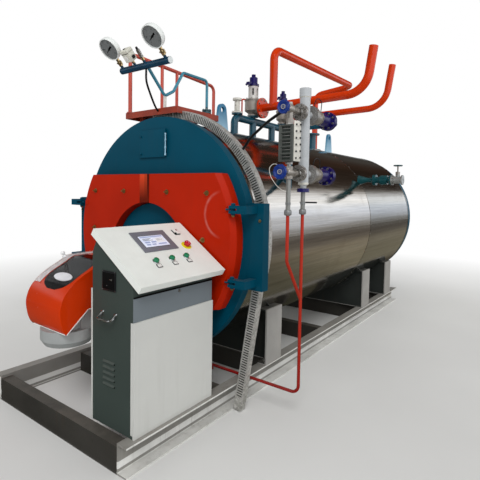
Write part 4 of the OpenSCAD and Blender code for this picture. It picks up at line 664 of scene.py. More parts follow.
def makeHall(s):    # studio cards that only reflections see
    bm = bmesh.new()
    count = 60
    last = None
    for i in range(count + 1):
        a = math.radians(s["low"] + (s["high"] - s["low"]) * i / count)
        pair = [bm.verts.new((s["radius"] * math.cos(a), y, s["axis"] + s["radius"] * math.sin(a)))
                for y in (s["start"], s["end"])]
        if last:
            bm.faces.new((last[0], last[1], pair[1], pair[0]))
        last = pair
    ground = bmesh.new()
    w = s["radius"]
    ground.faces.new([ground.verts.new(c) for c in ((-w, s["start"], 0.012), (w, s["start"], 0.012), (w, s["end"], 0.012),
                                                    (-w, s["end"], 0.012))])
    wall = bmesh.new()
    bmesh.ops.create_circle(wall, cap_ends=True, segments=60, radius=w, matrix=Matrix.Translation(
        (0, s["start"], s["axis"])) @ Matrix.Rotation(math.pi / 2, 4, "X"))
    for name, form, which in (("roundCard", bm, "round"), ("groundCard", ground, "ground"), ("frontCard", wall, "front")):
        mesh = bpy.data.meshes.new(name)
        form.to_mesh(mesh)
        form.free()
        mesh.materials.append(hallCloth(name + "Cloth", s, which))
        card = bpy.data.objects.new(name, mesh)
        bpy.context.collection.objects.link(card)
        card.visible_camera = card.visible_diffuse = card.visible_shadow = card.visible_transmission = False


def makeSun(name, toward, power, width):
    data = bpy.data.lights.new(name, "SUN")
    data.energy, data.angle = power, math.radians(width)
    lamp = bpy.data.objects.new(name, data)
    bpy.context.collection.objects.link(lamp)
    lamp.rotation_euler = Vector(toward).to_track_quat("-Z", "Y").to_euler()


makeStage()
makeHall(hallSet)
makeSun("keySun", (-0.45, 0.62, -0.80), 1.35, 24)
makeSun("fillSun", (-0.75, 0.25, -0.35), 0.35, 40)
print("floor and light set")


# ---- building helpers ----
def place(at, axis=(0, 0, 1)):
    return Matrix.Translation(at) @ Vector(axis).to_track_quat("Z", "Y").to_matrix().to_4x4()


def mark(made, index):
    for v in made["verts"]:
        for f in v.link_faces:
            f.material_index = index


def rod(bm, m, r, h, index=0, sides=24, top=None):    # from the matrix origin along its z
    made = bmesh.ops.create_cone(bm, cap_ends=True, segments=sides, radius1=r, radius2=r if top is None else top,
                                 depth=h, matrix=m @ Matrix.Translation((0, 0, h / 2)))
    mark(made, index)
    return made


def block(bm, m, low, high, index=0, round=0.0, steps=2):
    size = [high[i] - low[i] for i in range(3)]
    mid = [(high[i] + low[i]) / 2 for i in range(3)]
    made = bmesh.ops.create_cube(bm, size=1.0, matrix=m @ Matrix.Translation(mid) @ Matrix.Diagonal((*size, 1)))
    mark(made, index)
    if round:
        edges = list({e for v in made["verts"] for e in v.link_edges})
        bmesh.ops.bevel(bm, geom=edges, offset=round, offset_type="OFFSET", affect="EDGES", segments=steps,
                        profile=0.5, material=-1, clamp_overlap=True)
    return made


def dome(bm, m, r, index=0, sides=12, flat=0.6):
    made = bmesh.ops.create_uvsphere(bm, u_segments=sides, v_segments=6, radius=r,
                                     matrix=m @ Matrix.Diagonal((1, 1, flat, 1)))
    mark(made, index)


def turned(bm, m, profile, index=0, steps=48):    # profile of (radius, height) spun about the matrix z
    verts = [bm.verts.new(m @ Vector((r, 0, h))) for r, h in profile]
    edges = [bm.edges.new(pair) for pair in zip(verts, verts[1:])]
    before = set(bm.faces)
    bmesh.ops.spin(bm, geom=verts + edges, cent=m @ Vector((0, 0, 0)), axis=m.to_3x3() @ Vector((0, 0, 1)),
                   angle=math.tau, steps=steps, use_merge=True, use_duplicate=False)
    new = [f for f in bm.faces if f not in before]
    for f in new:
        f.material_index = index
    bmesh.ops.remove_doubles(bm, verts=list({v for f in new for v in f.verts}), dist=1e-5)


def number(bm, m, words, size, index=0):    # generic figures for a dial
    curve = bpy.data.curves.new("figure", "FONT")
    curve.body, curve.size = words, size
    curve.align_x = curve.align_y = "CENTER"
    curve.extrude = 0.0002
    holder = bpy.data.objects.new("figure", curve)
    bpy.context.collection.objects.link(holder)
    mesh = bpy.data.meshes.new_from_object(holder)
    bpy.data.objects.remove(holder)
    mesh.transform(m)
    for p in mesh.polygons:
        p.material_index = index
    bm.from_mesh(mesh)
    bpy.data.meshes.remove(mesh)


def keep(bm, name, keys, replaced=(), smooth=35):
    bmesh.ops.recalc_face_normals(bm, faces=bm.faces)
    mesh = bpy.data.meshes.new(name)
    bm.to_mesh(mesh)
    bm.free()
    for key in keys:
        mesh.materials.append(mats[key])
    for p in mesh.polygons:
        p.use_smooth = True
    mesh.set_sharp_from_angle(angle=math.radians(smooth))
    piece = bpy.data.objects.new(name, mesh)
    bpy.context.collection.objects.link(piece)
    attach(piece, "root")
    if replaced:
        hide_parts(*replaced)
    return piece


def ring(m, count, radius, start=0.5):
    return [m @ Matrix.Rotation((i + start) * math.tau / count, 4, "Z") @ Matrix.Translation((radius, 0, 0))
            for i in range(count)]


def boltHead(bm, m, r, index=0, stud=0.0):    # washer, hex head and an optional stud end
    rod(bm, m, r * 1.45, r * 0.28, index, 20)
    rod(bm, m @ Matrix.Translation((0, 0, r * 0.28)), r, r * 0.95, index, 6)
    if stud:
        rod(bm, m @ Matrix.Translation((0, 0, r)), r * 0.5, stud, index, 14)


print("helpers ready")

# ---- pressure gauges on the header ----
gaugeSet = {"places": {"left": -0.290, "right": 0.262}, "headerY": -0.13, "headerZ": 2.858, "lean": 44,
            "radius": 0.100, "centre": 0.219, "sweep": 270, "needle": {"left": 116, "right": 118}}


def makeGauge(side, s):
    bm = bmesh.new()
    own = Matrix.Translation((s["places"][side], s["headerY"], s["headerZ"])) @ Matrix.Rotation(
        math.radians(s["lean"]), 4, "X")
    face = own @ Matrix.Translation((0, 0, s["centre"])) @ Matrix.Rotation(math.pi / 2, 4, "X")
    r = s["radius"]
    turned(bm, face, [(0, -0.026), (r * 0.8, -0.026), (r * 0.95, -0.022), (r * 0.985, -0.012), (r * 0.985, 0.010),
                      (r, 0.012), (r, 0.0235), (r * 0.985, 0.026), (r * 0.93, 0.026), (r * 0.912, 0.024),
                      (r * 0.91, 0.0168)], 0, 72)
    turned(bm, face, [(0.0, 0.0170), (r * 0.912, 0.0170)], 1, 72)
    for i in range(51):
        turn = math.radians(s["sweep"] / 2 - i * s["sweep"] / 50)
        long = 0.011 if i % 10 == 0 else (0.0085 if i % 5 == 0 else 0.0055)
        thick = 0.0011 if i % 5 == 0 else 0.0005
        m = face @ Matrix.Rotation(turn, 4, "Z")
        block(bm, m, (-thick, r * 0.82 - long, 0.0170), (thick, r * 0.82, 0.01745), 2)
    turnRed = face @ Matrix.Rotation(math.radians(-72), 4, "Z")
    block(bm, turnRed, (-0.0014, r * 0.835, 0.0170), (0.0014, r * 0.885, 0.0176), 3)
    for i, words in enumerate(("0", "0.5", "1", "1.5", "2", "2.5")):
        turn = math.radians(s["sweep"] / 2 - i * s["sweep"] / 5)
        spot = Vector((-math.sin(turn), math.cos(turn), 0)) * r * 0.60
        number(bm, face @ Matrix.Translation((spot.x, spot.y, 0.0172)), words, 0.0145, 2)
    point = face @ Matrix.Rotation(math.radians(s["needle"][side]), 4, "Z") @ Matrix.Translation((0, 0, 0.0186))
    tip = [bm.verts.new(point @ Vector(p)) for p in ((-0.0085, -0.042, 0), (0.0085, -0.042, 0), (0.0062, 0.004, 0),
                                                    (0.0010, r * 0.60, 0), (-0.0010, r * 0.60, 0), (-0.0062, 0.004, 0))]
    blade = bm.faces.new(tip)
    blade.material_index = 2
    bmesh.ops.solidify(bm, geom=[blade], thickness=0.0009)
    rod(bm, face @ Matrix.Translation((0, 0, 0.0170)), 0.0095, 0.0045, 2, 24)
    rod(bm, own @ Matrix.Translation((0, 0, 0.0505)), 0.0175, 0.017, 4, 6)
    rod(bm, own @ Matrix.Translation((0, 0, 0.066)), 0.0100, 0.036, 4)
    turned(bm, own @ Matrix.Translation((0, 0, 0.079)), [(0, -0.018), (0.014, -0.016), (0.0185, -0.008), (0.020, 0),
                                                       (0.0185, 0.008), (0.014, 0.016), (0, 0.018)], 4, 28)
    rod(bm, own @ Matrix.Translation((-0.030, 0, 0.079)) @ Matrix.Rotation(math.pi / 2, 4, "Y"), 0.007, 0.060, 4, 16)
    block(bm, own, (0.026, -0.005, 0.058), (0.031, 0.005, 0.100), 4, 0.002)
    rod(bm, own @ Matrix.Translation((0, 0, 0.099)), 0.0165, 0.018, 4, 6)
    rod(bm, own @ Matrix.Translation((0, 0, 0.115)), 0.0125, 0.010, 4, 20)
    keep(bm, "pressureGauge_" + side, ["whiteCase", "dialFace", "ink", "mark", "brass"],
         ["gauge_" + side], 30)


for side in ("left", "right"):
    makeGauge(side, gaugeSet)
print("gauges made")

# ---- burner hood ----
hoodSet = {"half": 0.230, "round": 0.030, "badge": (0.108, 0.038),
           "front": [(-0.848, 0.913), (-1.018, 0.765), (-1.039, 0.794), (-1.058, 0.849), (-1.069, 0.922),
                     (-1.064, 0.974), (-1.041, 1.035), (-1.003, 1.085), (-0.944, 1.133), (-0.889, 1.166),
                     (-0.832, 1.194), (-0.738, 1.248)],
           "back": [(-0.330, 1.252), (-0.330, 0.890), (-0.669, 0.890)]}


def along(path, share):    # point and outward normal on the hood's side outline
    total = [0.0]
    for a, b in zip(path, path[1:]):
        total.append(total[-1] + math.dist(a, b))
    want = share * total[-1]
    for i in range(len(path) - 1):
        if want <= total[i + 1] or i == len(path) - 2:
            t = (want - total[i]) / (total[i + 1] - total[i])
            a, b = path[i], path[i + 1]
            d = Vector((b[0] - a[0], b[1] - a[1])).normalized()
            return Vector((a[0] + t * (b[0] - a[0]), a[1] + t * (b[1] - a[1]))), Vector((-d.y, d.x))


def smoothPath(path, steps=6):    # rounder front from the few outline points
    ends = [path[0]] + list(path) + [path[-1]]
    out = []
    for i in range(1, len(ends) - 2):
        a, b, c, d = (Vector(q) for q in ends[i - 1:i + 3])
        for k in range(steps):
            t = k / steps
            out.append(tuple(0.5 * (2 * b + (c - a) * t + (2 * a - 5 * b + 4 * c - d) * t * t
                                    + (3 * b - a - 3 * c + d) * t ** 3)))
    return out + [tuple(path[-1])]


def layOn(bm, path, x0, x1, lift, thick, index, rows, curl=0.0):    # thin panel that follows the curved top
    grid = []
    mid, half = (x0 + x1) / 2, (x1 - x0) / 2
    for share in rows:
        t = min(1.0, max(0.0, (rows[0] + curl - share) / curl)) if curl else 0.0
        wide = half * max(0.3, (1 - t ** 2.2) ** (1 / 2.2))
        at, out = along(path, share)
        grid.append([bm.verts.new((x, at.x + out.x * lift, at.y + out.y * lift)) for x in (mid - wide, mid + wide)])
    faces = []
    for a, b in zip(grid, grid[1:]):
        f = bm.faces.new((a[0], a[1], b[1], b[0]))
        f.material_index = index
        faces.append(f)
    bmesh.ops.solidify(bm, geom=faces, thickness=thick)


def makeHood(s):
    bm = bmesh.new()
    nose = smoothPath(s["front"][1:])
    outline = [s["front"][0]] + nose + s["back"]
    side = bm.faces.new([bm.verts.new((-s["half"], y, z)) for y, z in outline])
    made = bmesh.ops.extrude_face_region(bm, geom=[side])
    far = [v for v in made["geom"] if isinstance(v, bmesh.types.BMVert)]
    bmesh.ops.translate(bm, verts=far, vec=(2 * s["half"], 0, 0))
    rims = [e for e in bm.edges if abs(abs(e.verts[0].co.x) - s["half"]) < 1e-6
            and abs(e.verts[0].co.x - e.verts[1].co.x) < 1e-6
            and not (e.verts[0].co.y > -0.34 and e.verts[1].co.y > -0.34)]
    bmesh.ops.bevel(bm, geom=rims, offset=s["round"], offset_type="OFFSET", affect="EDGES", segments=5, profile=0.5,
                    material=-1, clamp_overlap=True)
    top = nose[18:] + [(-0.330, 1.252)]
    rows = [0.17 + i * 0.01 for i in range(14)] + [0.31 + i * 0.02 for i in range(20)]
    layOn(bm, top, -0.138, 0.196, 0.0015, 0.004, 1, rows, 0.13)
    layOn(bm, top, -0.212, -0.140, 0.0060, 0.010, 2, [0.20 + i * 0.02 for i in range(31)])
    layOn(bm, top, -0.216, -0.207, 0.0090, 0.013, 6, [0.18 + i * 0.02 for i in range(33)])
    # bare badge place
    at, out = along(top, 0.296)
    spot = Matrix.Translation((0.050, at.x, at.y)) @ Vector((0, out.x, out.y)).to_track_quat("Z", "Y").to_matrix().to_4x4()
    plate = bmesh.new()
    turned(plate, Matrix.Identity(4), [(0, 0.009), (0.058, 0.009), (0.066, 0.0085), (0.070, 0.006), (0.071, 0.0)], 3, 56)
    bmesh.ops.scale(plate, vec=(s["badge"][0] / 0.071, s["badge"][1] / 0.071, 1), verts=plate.verts)
    bmesh.ops.transform(plate, matrix=spot, verts=plate.verts)
    holder = bpy.data.meshes.new("badgePlate")
    plate.to_mesh(holder)
    plate.free()
    bm.from_mesh(holder)
    bpy.data.meshes.remove(holder)
    at, out = along(top, 0.52)
    knob = Matrix.Translation((-0.218, at.x, at.y)) @ Vector((0, out.x, out.y)).to_track_quat("Z", "Y").to_matrix().to_4x4()
    rod(bm, knob, 0.009, 0.034, 2, 16)
    dome(bm, knob @ Matrix.Translation((0, 0, 0.040)), 0.017, 2, 18, 0.9)
    rod(bm, knob, 0.020, 0.014, 2, 20)
    # pale trim along the lower edge
    lower = [s["front"][1], s["front"][0], (-0.669, 0.890), (-0.34, 0.890)]
    for x in (-s["half"] - 0.0015, s["half"] - 0.0035):
        for a, b in zip(lower, lower[1:]):
            long = math.dist(a, b)
            d = ((b[0] - a[0]) / long, (b[1] - a[1]) / long)
            m = Matrix.Translation((x, a[0], a[1])) @ Matrix(((1, 0, 0, 0), (0, d[0], -d[1], 0), (0, d[1], d[0], 0),
                                                             (0, 0, 0, 1)))
            block(bm, m, (0, 0.002, 0.001), (0.005, long - 0.002, 0.0075), 4)
    a = s["front"][1]
    block(bm, Matrix.Translation((0, a[0] - 0.002, a[1] + 0.004)), (-s["half"] + 0.020, -0.003, -0.004),
          (s["half"] - 0.020, 0.004, 0.004), 4)
    for y, z in ((-0.40, 1.19), (-0.40, 0.95), (-0.66, 1.17), (-0.72, 0.97)):
        for side2 in (-1, 1):
            m = place((side2 * s["half"], y, z), (side2, 0, 0))
            rod(bm, m, 0.011, 0.003, 5, 20)
            dome(bm, m @ Matrix.Translation((0, 0, 0.003)), 0.007, 5, 14, 0.6)
    keep(bm, "burnerHoodShell", ["hoodRed", "smoked", "hoodGrey", "badgeSilver", "hoodTrim", "steel", "hoodTrim"],
         ["burner_hood"], 40)


makeHood(hoodSet)
print("burner hood made")

# ---- studs and nuts on the front ----
frontSet = {"studs": [(-0.738, 1.765), (-0.306, 1.767), (0.259, 1.766), (0.705, 1.764), (0.669, 1.391),
                      (-0.754, 1.403), (0.690, 0.985), (-0.690, 0.985)], "face": -0.118}


def makeFront(s):
    bm = bmesh.new()
    for x, z in s["studs"]:
        m = place((x, s["face"], z), (0, -1, 0))
        rod(bm, m, 0.021, 0.004, 0, 28)
        rod(bm, m @ Matrix.Translation((0, 0, 0.004)), 0.0135, 0.012, 0, 6)
        rod(bm, m @ Matrix.Translation((0, 0, 0.015)), 0.007, 0.016, 0, 18)
    for side in (-1, 1):
        for z in (1.091, 1.645):
            pin = place((side * 0.970, -0.122, z + 0.042), (0, 0, 1))
            dome(bm, pin, 0.0175, 1, 24, 0.45)
            rod(bm, place((side * 0.970, -0.122, z - 0.042), (0, 0, -1)), 0.008, 0.014, 0, 16)
            rod(bm, place((side * 0.970, -0.122, z - 0.042), (0, 0, -1)), 0.0145, 0.009, 0, 6)
            boltHead(bm, place((side * 1.075, -0.110, z), (0, -1, 0)), 0.009, 0)
        boltHead(bm, place((side * 1.135, -0.007, 1.563), (0, -1, 0)), 0.008, 0)
    for x, z in ((-0.191, 2.110), (-0.191, 2.270)):
        dome(bm, place((x, -0.023, z), (0, -1, 0)), 0.007, 1, 14, 0.5)
    # hinge pin down the cover's right edge, in the pale lug blue that stands for the highlights along it
    rod(bm, place((0.141, -0.0275, 2.086), (0, 0, 1)), 0.0052, 0.196, 2, 16)
    for z in (2.086, 2.150, 2.214, 2.266):
        rod(bm, place((0.141, -0.0275, z), (0, 0, 1)), 0.0072, 0.016, 2, 18)
    keep(bm, "frontStuds", ["studBrass", "blue", "lug"])


makeFront(frontSet)
print("front studs made")

# ---- flat strip laid over the door joint, with the left door's lit closing edge and the shadowed gap painted on ----
stripSet = {"x": (-0.084, 0.037), "face": -0.118, "thick": 0.003, "top": 1.9205, "arch": (1.170, 0.5), "steps": 8}


def makeStrip(s):
    bm = bmesh.new()
    x0, x1 = s["x"]
    centre, radius = s["arch"]
    low = []
    for i in range(s["steps"] + 1):
        x = x0 + (x1 - x0) * i / s["steps"]
        low.append((x, centre + math.sqrt(radius * radius - x * x) + 0.0005))
    outline = low + [(x1, s["top"]), (x0, s["top"])]
    front = bm.faces.new([bm.verts.new((x, s["face"] - s["thick"], z)) for x, z in outline])
    made = bmesh.ops.extrude_face_region(bm, geom=[front])
    for v in [g for g in made["geom"] if isinstance(g, bmesh.types.BMVert)]:
        v.co.y = s["face"] + 0.0005
    keep(bm, "doorJointLightAndShadeStrip", ["closingEdge"])


makeStrip(stripSet)
print("door closing strip made")

# ---- rivets along the sheet laps ----
lapSet = {"radius": 1.028, "axis": 1.385, "rows": [2.763, 4.553, 0.105], "pitch": 0.118, "rivet": 0.0042}


def makeLaps(s):
    bm = bmesh.new()
    for y in s["rows"]:
        r = s["radius"] if y > 1 else 1.025
        count = int(math.tau * r / s["pitch"])
        for i in range(count):
            a = i * math.tau / count
            out = Vector((math.cos(a), 0, math.sin(a)))
            at = Vector((0, y, s["axis"])) + out * r
            dome(bm, place(at, out), s["rivet"], 0, 10, 0.55)
    keep(bm, "claddingRivets", ["steel"])


makeLaps(lapSet)
print("cladding rivets made")

# ---- near-black fill that stands for the shade inside the slotted trunking, with clips ----
traySet = {"inner": 1.0545, "outer": 1.1205, "axis": 1.385, "y0": 0.1318, "y1": 0.182, "a0": 99.5, "a1": -19.5}


def makeTrunkingShade(s):
    bm = bmesh.new()
    steps = 120
    corners = [(s["inner"], s["y0"]), (s["outer"], s["y0"]), (s["outer"], s["y1"]), (s["inner"], s["y1"])]
    rings = []
    for i in range(steps + 1):
        a = math.radians(s["a1"] + (s["a0"] - s["a1"]) * i / steps)
        rings.append([bm.verts.new((r * math.cos(a), y, s["axis"] + r * math.sin(a))) for r, y in corners])
    for a, b in zip(rings, rings[1:]):
        for k in range(4):
            bm.faces.new((a[k], a[(k + 1) % 4], b[(k + 1) % 4], b[k]))
    for end in (rings[0], rings[-1]):
        bm.faces.new(end)
    # the same down the straight part
    p = Vector((1.125 * math.cos(math.radians(-20)), 0.128, 1.385 + 1.125 * math.sin(math.radians(-20))))
    q = Vector((0.938, 0.062, 0.008))
    down = (q - p).normalized()
    acrossDir = Vector((down.z, 0, -down.x)).normalized()
    if acrossDir.x > 0:
        acrossDir = -acrossDir
    deep = down.cross(acrossDir)
    if deep.y < 0:
        deep = -deep
    m = Matrix((acrossDir, deep, down)).transposed().to_4x4()
    m.translation = p
    block(bm, m, (0.0045, 0.0038, 0.01), (0.069, 0.050, (q - p).length - 0.075), 0)
    for i in range(1, 9):
        a = math.radians(s["a1"] + (s["a0"] - s["a1"]) * i / 9)
        out = Vector((math.cos(a), 0, math.sin(a)))
        m = Matrix((out, Vector((0, 1, 0)), Vector((-out.z, 0, out.x)))).transposed().to_4x4()
        m.translation = Vector((0, 0, s["axis"]))
        block(bm, m, (1.0512, 0.1262, -0.006), (1.1252, 0.1278, 0.006), 1)
        rod(bm, place(m @ Vector((1.118, 0.1262, 0)), (0, -1, 0)), 0.0042, 0.002, 2, 10)
    keep(bm, "trunkingShadeFill", ["trunkDark", "spangle", "steel"])


makeTrunkingShade(traySet)
print("trunking liner made")

# ---- bolts on the flanges ----
flangeSets = [
    {"at": (0.146, 1.514, 2.755), "axis": (1, 0, 0), "count": 8, "radius": 0.097, "bolt": 0.0085},
    {"at": (0.146, 2.200, 2.740), "axis": (1, 0, 0), "count": 8, "radius": 0.082, "bolt": 0.0078},
    {"at": (0, 1.514, 2.688), "axis": (0, 0, 1), "count": 8, "radius": 0.055, "bolt": 0.0062},
    {"at": (0, 2.200, 2.688), "axis": (0, 0, 1), "count": 8, "radius": 0.055, "bolt": 0.0062},
    {"at": (0, 1.198, 2.674), "axis": (0, 0, 1), "count": 4, "radius": 0.046, "bolt": 0.0062},
    {"at": (0, 2.271, 2.612), "axis": (0, 1, 0), "count": 8, "radius": 0.054, "bolt": 0.0060},
    {"at": (1.0800, 2.7, 1.955), "axis": (1, 0, 0), "count": 8, "radius": 0.055, "bolt": 0.0062},
    {"at": (1.0620, 2.7, 1.955), "axis": (-1, 0, 0), "count": 8, "radius": 0.055, "bolt": 0.0062},
    {"at": (1.3060, 2.7, 1.955), "axis": (1, 0, 0), "count": 8, "radius": 0.052, "bolt": 0.0056},
    {"at": (1.2700, 2.7, 1.955), "axis": (-1, 0, 0), "count": 8, "radius": 0.052, "bolt": 0.0056},
    {"at": (-0.330, 4.742, 1.065), "axis": (0, 1, 0), "count": 12, "radius": 0.185, "bolt": 0.0095},
    {"at": (0.330, 4.742, 1.065), "axis": (0, 1, 0), "count": 12, "radius": 0.185, "bolt": 0.0095},
    {"at": (0, -0.082, 1.020), "axis": (0, -1, 0), "count": 8, "radius": 0.232, "bolt": 0.0095},
    {"at": (-0.350, 3.848, 2.360), "axis": (0, 0, 1), "count": 4, "radius": 0.062, "bolt": 0.0062},
]


def makeBolts(sets):
    bm = bmesh.new()
    for s in sets:
        m = place(s["at"], s["axis"])
        for spot in ring(m, s["count"], s["radius"]):
            boltHead(bm, spot, s["bolt"], 0, s["bolt"] * 0.9)
    # loose ring flanges on the valve side of both outlets
    for y, z, outer, inner in ((1.514, 2.755, 0.115, 0.066), (2.200, 2.740, 0.100, 0.056)):
        m = place((0.106, y, z), (1, 0, 0))
        turned(bm, m, [(inner, 0), (outer - 0.002, 0), (outer, 0.002), (outer, 0.0205), (outer - 0.002, 0.0215),
                       (inner, 0.0215)], 1, 48)
        for spot in ring(place((0.106, y, z), (-1, 0, 0)), 8, outer - 0.020):
            boltHead(bm, spot, 0.0078, 0)
    keep(bm, "flangeBolts", ["steel", "castSteel"])


makeBolts(flangeSets)
print("flange bolts made")

# ---- safety valve springs and levers ----
valveSets = [{"y": 1.514, "rim": 2.865, "bonnet": 0.157, "body": 0.098, "neck": 0.640, "side": "Front", "slot": "valve_steel"},
             {"y": 2.200, "rim": 2.846, "bonnet": 0.138, "body": 0.084, "neck": 0.650, "side": "Rear", "slot": "valve_steel"}]


def makeValveTrim(s):
    bm = bmesh.new()
    at = Matrix.Translation((0, s["y"], s["rim"]))
    wire, coil, turns = 0.0055, s["body"] * 0.33, 6
    low, high = 0.030, s["bonnet"] - 0.024
    last = None
    for i in range(turns * 20 + 1):
        a = i * math.tau / 20
        centre = Vector((coil * math.cos(a), coil * math.sin(a), low + (high - low) * i / (turns * 20)))
        out = Vector((math.cos(a), math.sin(a), 0))
        loop = [bm.verts.new(at @ (centre + wire * (math.cos(k * math.tau / 8) * out
                                                    + math.sin(k * math.tau / 8) * Vector((0, 0, 1))))) for k in range(8)]
        if last:
            for k in range(8):
                bm.faces.new((last[k], last[(k + 1) % 8], loop[(k + 1) % 8], loop[k]))
        last = loop
    for h in (low - 0.012, high + 0.004):
        rod(bm, at @ Matrix.Translation((0, 0, h)), s["body"] * 0.42, 0.008, 0, 32)
    top = at @ Matrix.Translation((0, 0, s["bonnet"]))
    turned(bm, top, [(s["body"] * 0.60, -0.004), (s["body"] * 0.66, -0.002), (s["body"] * 0.66, 0.022),
                     (s["body"] * 0.60, 0.027), (s["body"] * 0.49, 0.028)], 1, 40)
    lean = top @ Matrix.Translation((0, -s["body"] * 0.45, 0.020)) @ Matrix.Rotation(math.radians(14), 4, "X")
    block(bm, lean, (-0.012, -0.095, -0.006), (0.012, 0.010, 0.006), 1, 0.003)
    rod(bm, lean @ Matrix.Translation((-0.020, -0.004, 0)) @ Matrix.Rotation(math.pi / 2, 4, "Y"), 0.010, 0.040, 0, 20)
    dome(bm, lean @ Matrix.Translation((0, -0.100, 0)), 0.014, 1, 16, 1.0)
    for spot in ring(at @ Matrix.Translation((0, 0, 0)), 8, s["body"] - 0.010):
        boltHead(bm, spot, 0.0080, 0, 0.010)
    turned(bm, at @ Matrix.Translation((0, 0, -0.020)), [(s["body"] + 0.0042, 0.004), (s["body"] + 0.0058, 0.006),
                                                       (s["body"] + 0.0058, 0.014), (s["body"] + 0.0042, 0.016)], 2, 60)
    for turn in (-58, 122):
        a = math.radians(turn)
        wall = s["body"] * s["neck"]
        m = at @ Matrix.Rotation(a, 4, "Z") @ Matrix.Translation((wall, 0, 0))
        block(bm, m, (-0.004, -0.0105, 0.050), (0.0012, 0.0105, s["bonnet"] - 0.030), 3, 0.003)
        for k in range(4):
            block(bm, m, (0.0008, -0.0085, 0.056 + k * 0.020), (0.0028, 0.0085, 0.062 + k * 0.020), 0, 0.001)
    keep(bm, "safetyValveTrim" + s["side"], ["steel", "navy", "castSteel", "ink"])


for one in valveSets:
    makeValveTrim(one)
print("safety valve trim made")

# ---- level gauge block ----
gaugeBlockSet = {"x": 1.362, "y": 0.011, "z": 2.127, "width": 0.116, "depth": 0.110, "tall": 0.260, "windows": 5,
                 "bar": 0.013}


def makeGaugeBlock(s):
    bm = bmesh.new()
    m = Matrix.Translation((s["x"], s["y"], s["z"]))
    w, d, h = s["width"] / 2, s["depth"] / 2, s["tall"] / 2
    block(bm, m, (-w + 0.004, -d + 0.020, -h + 0.003), (w - 0.001, d, h - 0.003), 0, 0.003)
    for side in (-1, 1):    # cheeks with a step
        block(bm, m, (side * w - 0.014 if side > 0 else -w, -d - 0.001, -h), (w if side > 0 else -w + 0.014, -d + 0.026, h),
              0, 0.003)
        block(bm, m, (side * (w - 0.019) - 0.005, -d + 0.004, -h + 0.006), (side * (w - 0.019) + 0.005, -d + 0.022, h - 0.006),
              0, 0.0015)
    clear = (s["tall"] - s["bar"] * (s["windows"] + 1)) / s["windows"]
    for i in range(s["windows"] + 1):
        low = -h + i * (clear + s["bar"])
        block(bm, m, (-w + 0.012, -d + 0.001, low), (w - 0.012, -d + 0.022, low + s["bar"]), 0, 0.003)
        block(bm, m, (-w + 0.024, -d - 0.0015, low + 0.003), (w - 0.024, -d + 0.002, low + s["bar"] - 0.003), 0, 0.001)
    for i in range(s["windows"]):
        low = -h + s["bar"] + i * (clear + s["bar"])
        block(bm, m, (-w + 0.022, -d + 0.0125, low), (w - 0.022, -d + 0.016, low + clear), 1)
        block(bm, m, (-w + 0.025, -d + 0.0105, low + clear * 0.55), (w - 0.025, -d + 0.013, low + clear * 0.60), 4)
    # pale plate with two columns of dark bolts
    block(bm, m, (w, -d + 0.010, -h + 0.003), (w + 0.009, d - 0.010, h + 0.025), 2, 0.003)
    for k in range(6):
        for col in (-1, 1):
            spot = m @ Vector((w + 0.009, col * 0.030, -h + 0.024 + k * 0.0465 + (0.006 if col > 0 else 0)))
            b = place(spot, (1, 0, 0))
            rod(bm, b, 0.0095, 0.002, 2, 20)
            rod(bm, b @ Matrix.Translation((0, 0, 0.002)), 0.0072, 0.007, 3, 6)
        block(bm, m, (w + 0.0085, -0.013, -h + 0.017 + k * 0.0465), (w + 0.0125, 0.013, -h + 0.037 + k * 0.0465), 2, 0.002)
    for k in range(6):
        for y in (-0.032, 0.032):
            b = place(m @ Vector((-w + 0.004, y, -h + 0.022 + k * 0.043)), (-1, 0, 0))
            rod(bm, b, 0.007, 0.006, 3, 6)
    for low in (-h - 0.016, h):
        rod(bm, m @ Matrix.Translation((0, 0, low)), 0.026, 0.018, 5, 6)
    rod(bm, m @ Matrix.Translation((0, 0, -h - 0.050)), 0.0145, 0.052, 5, 24)
    keep(bm, "levelGaugeBlock", ["gaugeFrame", "windowGlass", "spool", "blackPart", "silver", "steel"],
         ["level_gauge"])


makeGaugeBlock(gaugeBlockSet)
print("level gauge block made")

# ---- gauge cocks with their blue wheels ----
cockSet = {"x": 1.362, "y": 0.011, "levels": [(1.922, -0.110, 0.052), (2.372, -0.080, 0.048)], "branch": 0.1443}


